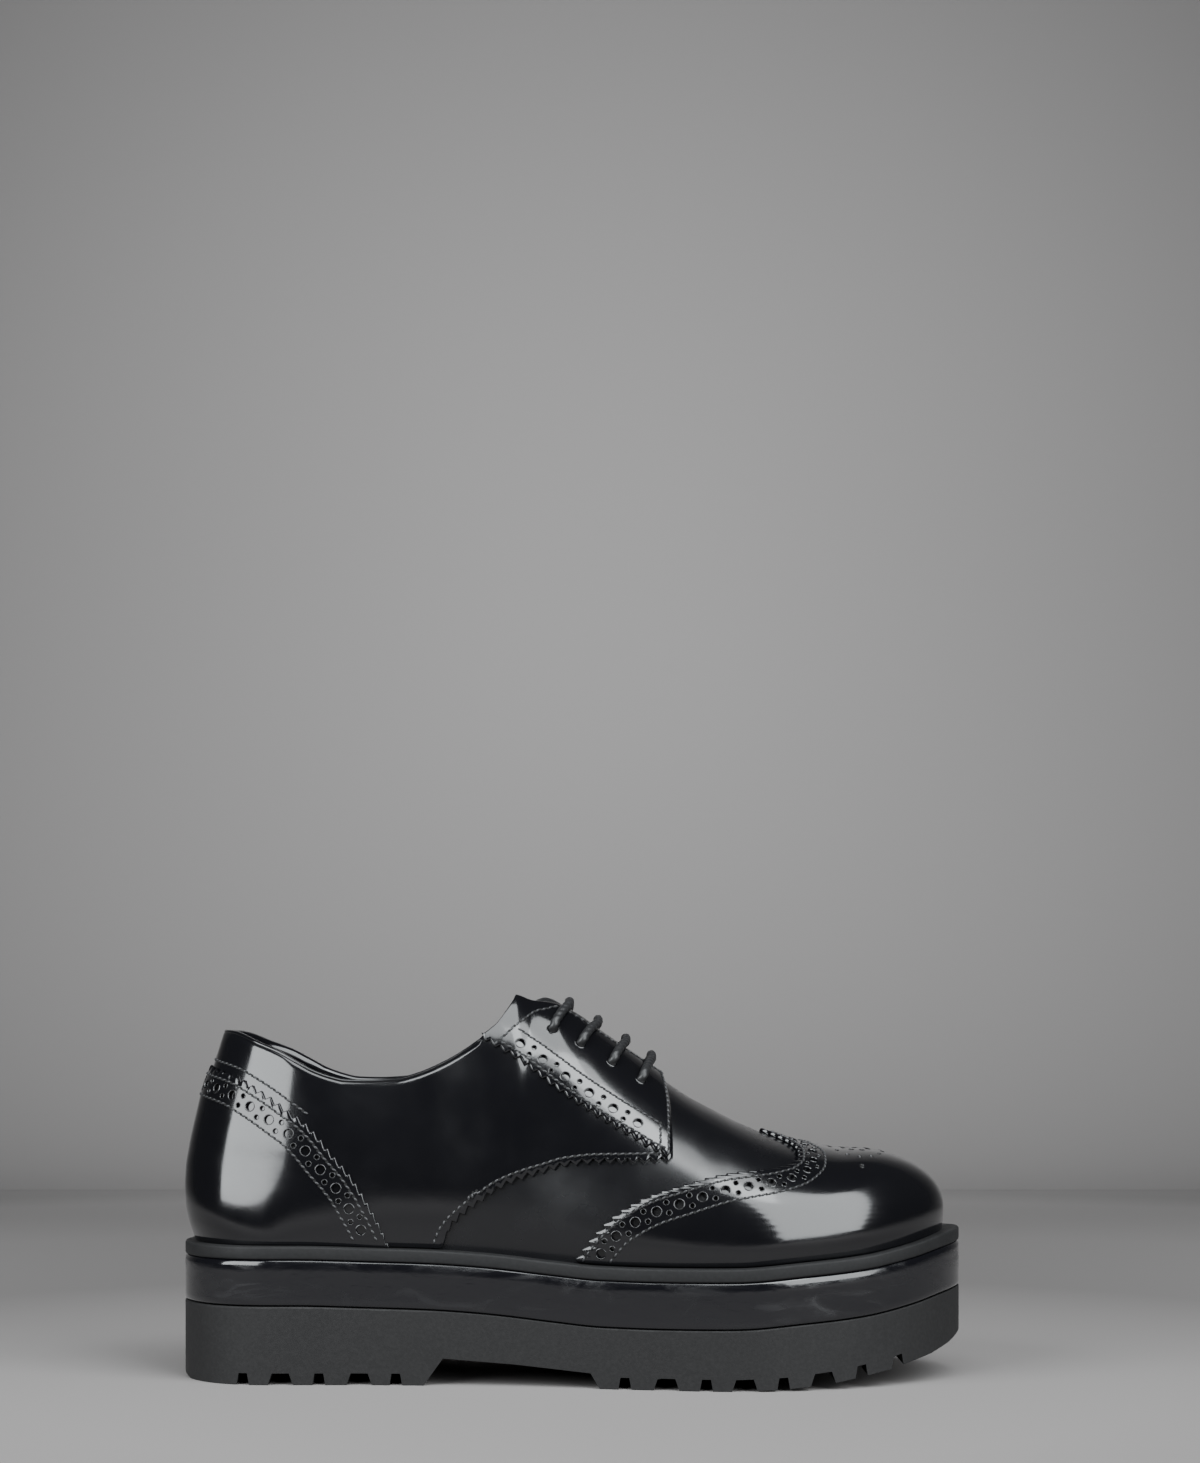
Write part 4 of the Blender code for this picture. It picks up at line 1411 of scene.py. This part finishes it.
def keep_smooth(mesh, smooth, normals):
    """Gives a punched leather the shading that it had before, and its holes plain walls."""
    found = []
    for vertex in mesh.vertices:
        total = Vector()
        for _, index, distance in smooth.find_n(vertex.co, 4):
            total += normals[index] / (distance + 0.05 * MM) ** 2
        found.append(total.normalized())
    corners = []
    for face in mesh.polygons:
        face.use_smooth = True
        for index in face.vertices:
            near = found[index]
            corners.append(near if near.dot(face.normal) > 0.55 else face.normal.copy())
    mesh.normals_split_custom_set(corners)


# Radii of the holes, and what the trim is planned as before the leathers are made.
LARGE_HOLE, SMALL_HOLE, EYELET_HOLE, DOT_HOLE = 1.55, 0.8, 1.75, 0.6
stitches = []
# Needle holes and eyelet holes are shown by dark discs of painted shade.
needle_hole_shade = []
eyelet_shade_places = []
rim_places = {LARGE_HOLE: [], SMALL_HOLE: [], EYELET_HOLE: [], DOT_HOLE: []}
punched = {"eyestay_lateral": [], "eyestay_medial": [], "heel_counter": [], "toe_cap": []}


def sew(line, side, out):
    """A row of stitches with a needle hole between each two, shown by a disc of painted shade."""
    for t, rise, tangent in along_line(line, side, STITCH_PITCH):
        stitches.append(stand(t, rise, side, tangent, out + 0.05))
    for t, rise, tangent in along_line(line, side, STITCH_PITCH, lead=1.0):
        needle_hole_shade.append(stand(t, rise, side, tangent, out + 0.07))


def hole(group, matrix, radius):
    punched[group].append((matrix, radius))
    rim_places[radius].append(matrix)


def brogue(line, side, out, pitch, group, spacing):
    """Large holes along a line with a pair of small ones between each two."""
    for t, rise, tangent in along_line(line, side, pitch):
        hole(group, stand(t, rise, side, tangent, out), LARGE_HOLE)
    for t, rise, tangent in along_line(line, side, pitch, lead=1.0)[:-1]:
        placed = stand(t, rise, side, tangent, out)
        for sign in (-1, 1):
            hole(group, placed @ Matrix.Translation((0.0, sign * spacing * MM, 0.0)), SMALL_HOLE)


# Bands of brogue: distances inside the gimped edge of a stitch row, the holes and the next stitch row; then
# the pitch of the large holes and the distance aside of the small ones.
COUNTER_ROWS, COUNTER_PITCH, COUNTER_ASIDE = (3.0, 6.4, 10.2), 7.9, 1.75
CAP_ROWS, CAP_PITCH, CAP_ASIDE = (2.6, 6.0, 10.0), 8.0, 1.8

# The eyestay's band also stops short of its front edge, and of a place at its back.
EYESTAY_ROWS = ((2.5, 3.0, -27.5), (5.4, 7.6, -26.0), (9.4, 4.4, -40.0))
EYESTAY_PITCH, EYESTAY_ASIDE = 8.9, 1.5
CORNER_ROW_ENDS = -18.0


def fine_line(edge, count):
    return [edge(k / count) for k in range(count + 1)]


def rows_inside(line, side, keep, rows):
    """What a rule keeps of the lines at some distances inside an edge."""
    return [[mark for mark in seam_line(line, side, inward, -1.0) if keep(*mark)] for inward in rows]


def trim_band(lines, side, out, pitch, group, spacing):
    """A stitch row, a brogue row and a stitch row."""
    near, middle, far = lines
    sew(near, side, out)
    brogue(middle, side, out, pitch, group, spacing)
    sew(far, side, out)


def trim_eyestay(side, name):
    edge = fine_line(eyestay_low_edge(side), 160)

    def row(inward, before_front, from_back):
        def keep(t, rise):
            p = form(t, rise, side)
            if not from_back < p.x < front_edge(p.z) - before_front:
                return False
            if p.x < CORNER_ROW_ENDS:
                return p.z < corner_row(p.x) - 0.6
            return rise < collar_rise(t, side) - 0.03

        return [mark for mark in seam_line(edge, side, inward) if keep(*mark)]

    lines = [row(*limits) for limits in EYESTAY_ROWS]
    trim_band(lines, side, BAND_FACE, EYESTAY_PITCH, name, EYESTAY_ASIDE)
    sew(facing_row(side), side, BAND_FACE)
    heights = spread(74.6, 100.4, 120)
    front = [side_point(front_edge(height) - 0.5, height, side) for height in heights]
    sew(seam_line(front, side, 1.3), side, BAND_FACE)
    sew(seam_line(front[:46], side, 4.0), side, BAND_FACE)


def facing_row(side):
    """Round the back corner of the eyestay, then along the facing's edge."""
    corner = [side_point(place, corner_row(place), side) for place in spread(-26.4, -9.5, 60)]
    facing = edge_between(station_at(-7.0), station_at(29.0), lambda t: collar_rise(t, side))
    return corner + seam_line(fine_line(facing, 160), side, 2.6, -1.0)


def trim_counter():
    edge = fine_line(counter_edge(), 300)

    def keep(t, rise):
        p = form(t, rise, 1)
        return p.z > welt_top(p.x) + 0.8

    rows = rows_inside(edge, 1, keep, COUNTER_ROWS)
    trim_band(rows, 1, BAND_FACE, COUNTER_PITCH, "heel_counter", COUNTER_ASIDE)
    short = [(t, rise) for t, rise in edge if place_at(abs(t)) < -90.0]
    sew(seam_line(short, 1, -2.4, -1.0), 1, QUARTER_FACE)


def trim_cap(side):
    edge = fine_line(cap_edge_line(side), 200)

    def keep(t, rise):
        p = form(t, rise, side)
        return rise < 0.99 and p.z > welt_top(p.x) + 0.8

    rows = rows_inside(edge, side, keep, CAP_ROWS)
    trim_band(rows, side, CAP_FACE, CAP_PITCH, "toe_cap", CAP_ASIDE)


def trim_quarter(side):
    edge = edge_between(station_at(QUARTER_AT_WELT), station_at(32.0), lambda t: quarter_edge(t, side))
    sew(seam_line(fine_line(edge, 200), side, 3.2), side, QUARTER_FACE)


MEDALLION_PLACE = 96.5


# Rings of the medallion: count of holes, half length, half width, radius of the holes.
MEDALLION_RINGS = ((8, 4.6, 8.5, SMALL_HOLE), (14, 9.2, 18.0, DOT_HOLE))


def make_medallion():
    """Rosette of small holes on top of the toe, wider than it is long."""
    spots = [(0.0, 0.0, SMALL_HOLE), (0.0, 25.0, SMALL_HOLE), (0.0, -25.0, SMALL_HOLE)]
    for count, ahead, aside, radius in MEDALLION_RINGS:
        for k in range(count):
            angle = 2 * math.pi * (k + 0.5) / count
            spots.append((ahead * math.cos(angle), aside * math.sin(angle), radius))
    for ahead, aside, radius in spots:
        t, rise, side = top_spot(MEDALLION_PLACE + ahead, aside, 0.2)
        tangent = (form(t + 0.003, rise, side) - form(t - 0.003, rise, side)).normalized()
        hole("toe_cap", stand(t, rise, side, tangent, CAP_FACE), radius)


def plan_trim():
    for side, side_name in SIDES:
        trim_eyestay(side, f"eyestay_{side_name}")
        trim_cap(side)
        trim_quarter(side)
        for _, eyelet, height in LACE_BARS:
            t, rise = side_point(eyelet, height, side)
            tangent = (form(t + 0.002, rise, side) - form(t, rise, side)).normalized()
            placed = stand(t, rise, side, tangent, BAND_FACE)
            hole(f"eyestay_{side_name}", placed, EYELET_HOLE)
            # A disc of painted shade lies inside each eyelet hole.
            eyelet_shade_places.append(placed @ Matrix.Translation((0.0, 0.0, -0.9 * MM)))
    trim_counter()
    make_medallion()


def make_trim():
    dress(copies("stitching", stitch_model(), stitches), STITCH, "black_gloss_leather")
    # Needle holes as dark discs of painted shade.
    dots = copies("needle_hole_shade", disc_model(0.5, 8), needle_hole_shade)
    dress(dots, HOLE_SHADE, "black_gloss_leather")
    rims = []
    for radius, places in rim_places.items():
        rims.append(copies("rims", hole_rim_model(radius, 0.16 + 0.14 * radius), places))
    dress(join("hole_rims", rims), LEATHER, "black_gloss_leather")
    # Painted shade in the eyelet holes: dark discs under each opening.
    depths = copies("eyelet_hole_shade", disc_model(EYELET_HOLE, 16), eyelet_shade_places)
    dress(depths, HOLE_SHADE, "black_gloss_leather")


def dress_insole():
    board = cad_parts["insole"]
    for slot_of in board.material_slots:
        slot_of.material = LINING


# Painted light falloff on the paper, darker where less light falls: metres away from the shoe, level.
PAPER_FALLOFF_LEVELS = ((0.0, 0.255), (0.2, 0.235), (0.36, 0.18), (0.62, 0.24), (0.9, 0.26), (1.0, 0.225))


def paper_look():
    """Pale matt paper with painted light falloff: a little darker away from the shoe."""
    look = Look("studio_paper", (0.2, 0.2, 0.2), 0.9, specular=0.0)
    away = look.node("ShaderNodeVectorMath", operation="LENGTH")
    look.link(look.place, away.inputs[0])
    stops = [(away_at, (level, level * 0.955, level * 0.94)) for away_at, level in PAPER_FALLOFF_LEVELS]
    look.link(look.ramp(away.outputs["Value"], *stops), look.shader.inputs["Base Color"])
    look.bump(look.noise(300.0, 3.0), 0.03)
    return look.material


def stage_sheet(name, point_of, material):
    bpy.ops.mesh.primitive_grid_add(x_subdivisions=40, y_subdivisions=40, size=2.0)
    paper = bpy.context.object
    paper.name = name
    for vertex in paper.data.vertices:
        vertex.co = point_of(vertex.co.x, vertex.co.y)
    bpy.ops.object.shade_smooth()
    paper.data.materials.append(material)


def make_stage():
    """A pale floor and, far behind it, the same paper swept up to a wall."""
    paper = paper_look()
    stage_sheet("studio_floor", lambda u, v: (3.0 * u, 2.4 * v, -0.0001), paper)

    def wall(u, v):
        up = (v + 1) / 2
        turn = min(1.0, up / 0.4) * math.pi / 2
        y = 1.0 + 0.6 * math.sin(turn)
        z = 0.6 * (1 - math.cos(turn)) + max(0.0, up - 0.4) * 1.8
        return 2.6 * u, y, z

    stage_sheet("studio_wall", wall, paper)


def softbox(name, place, target, size, power):
    bpy.ops.object.light_add(type="AREA", location=place)
    light = bpy.context.object
    light.name = name
    light.data.shape = "RECTANGLE"
    light.data.size, light.data.size_y = size
    light.data.energy = power
    light.data.color = (0.94, 0.98, 1.0)
    light.rotation_euler = (Vector(target) - Vector(place)).to_track_quat("-Z", "Y").to_euler()
    light.visible_camera = False
    return light


# Lights: name, place, target, size, power.
SOFTBOXES = (
    ("left_softbox", (-0.63, -0.555, 0.58), (-0.20, 0.0, 0.58), (0.71, 0.86), 16.0),
    ("right_softbox", (0.72, -0.76, 0.70), (0.05, 0.0, 0.08), (0.92, 1.40), 28.0),
    ("top_softbox", (0.08, -0.44, 1.12), (0.0, 0.0, 0.05), (0.70, 0.72), 9.0),
)
WALL_LIGHT = ("wall_light", (0.0, 0.20, 0.95), (0.0, 1.6, 0.50), (0.3, 0.3), 5.0)


def make_lights():
    for box in SOFTBOXES:
        softbox(*box)
    wall_light = softbox(*WALL_LIGHT)
    wall_light.visible_glossy = False
    wall_light.data.spread = math.radians(85.0)
    world = bpy.data.worlds.new("studio_air")
    bpy.context.scene.world = world
    world.use_nodes = True
    background = world.node_tree.nodes["Background"]
    background.inputs["Color"].default_value = (0.5, 0.51, 0.53, 1.0)
    background.inputs["Strength"].default_value = 0.06


plan_trim()
make_vamp()
make_back_wall()
for shoe_side, side_name in SIDES:
    make_quarter(shoe_side, f"quarter_{side_name}")
    make_eyestay(shoe_side, f"eyestay_{side_name}")
make_counter()
make_cap()
make_collar_roll()
make_tongue()
make_laces()
make_outsole()
make_midsole()
make_welt()
make_trim()
dress_insole()
make_stage()
make_lights()
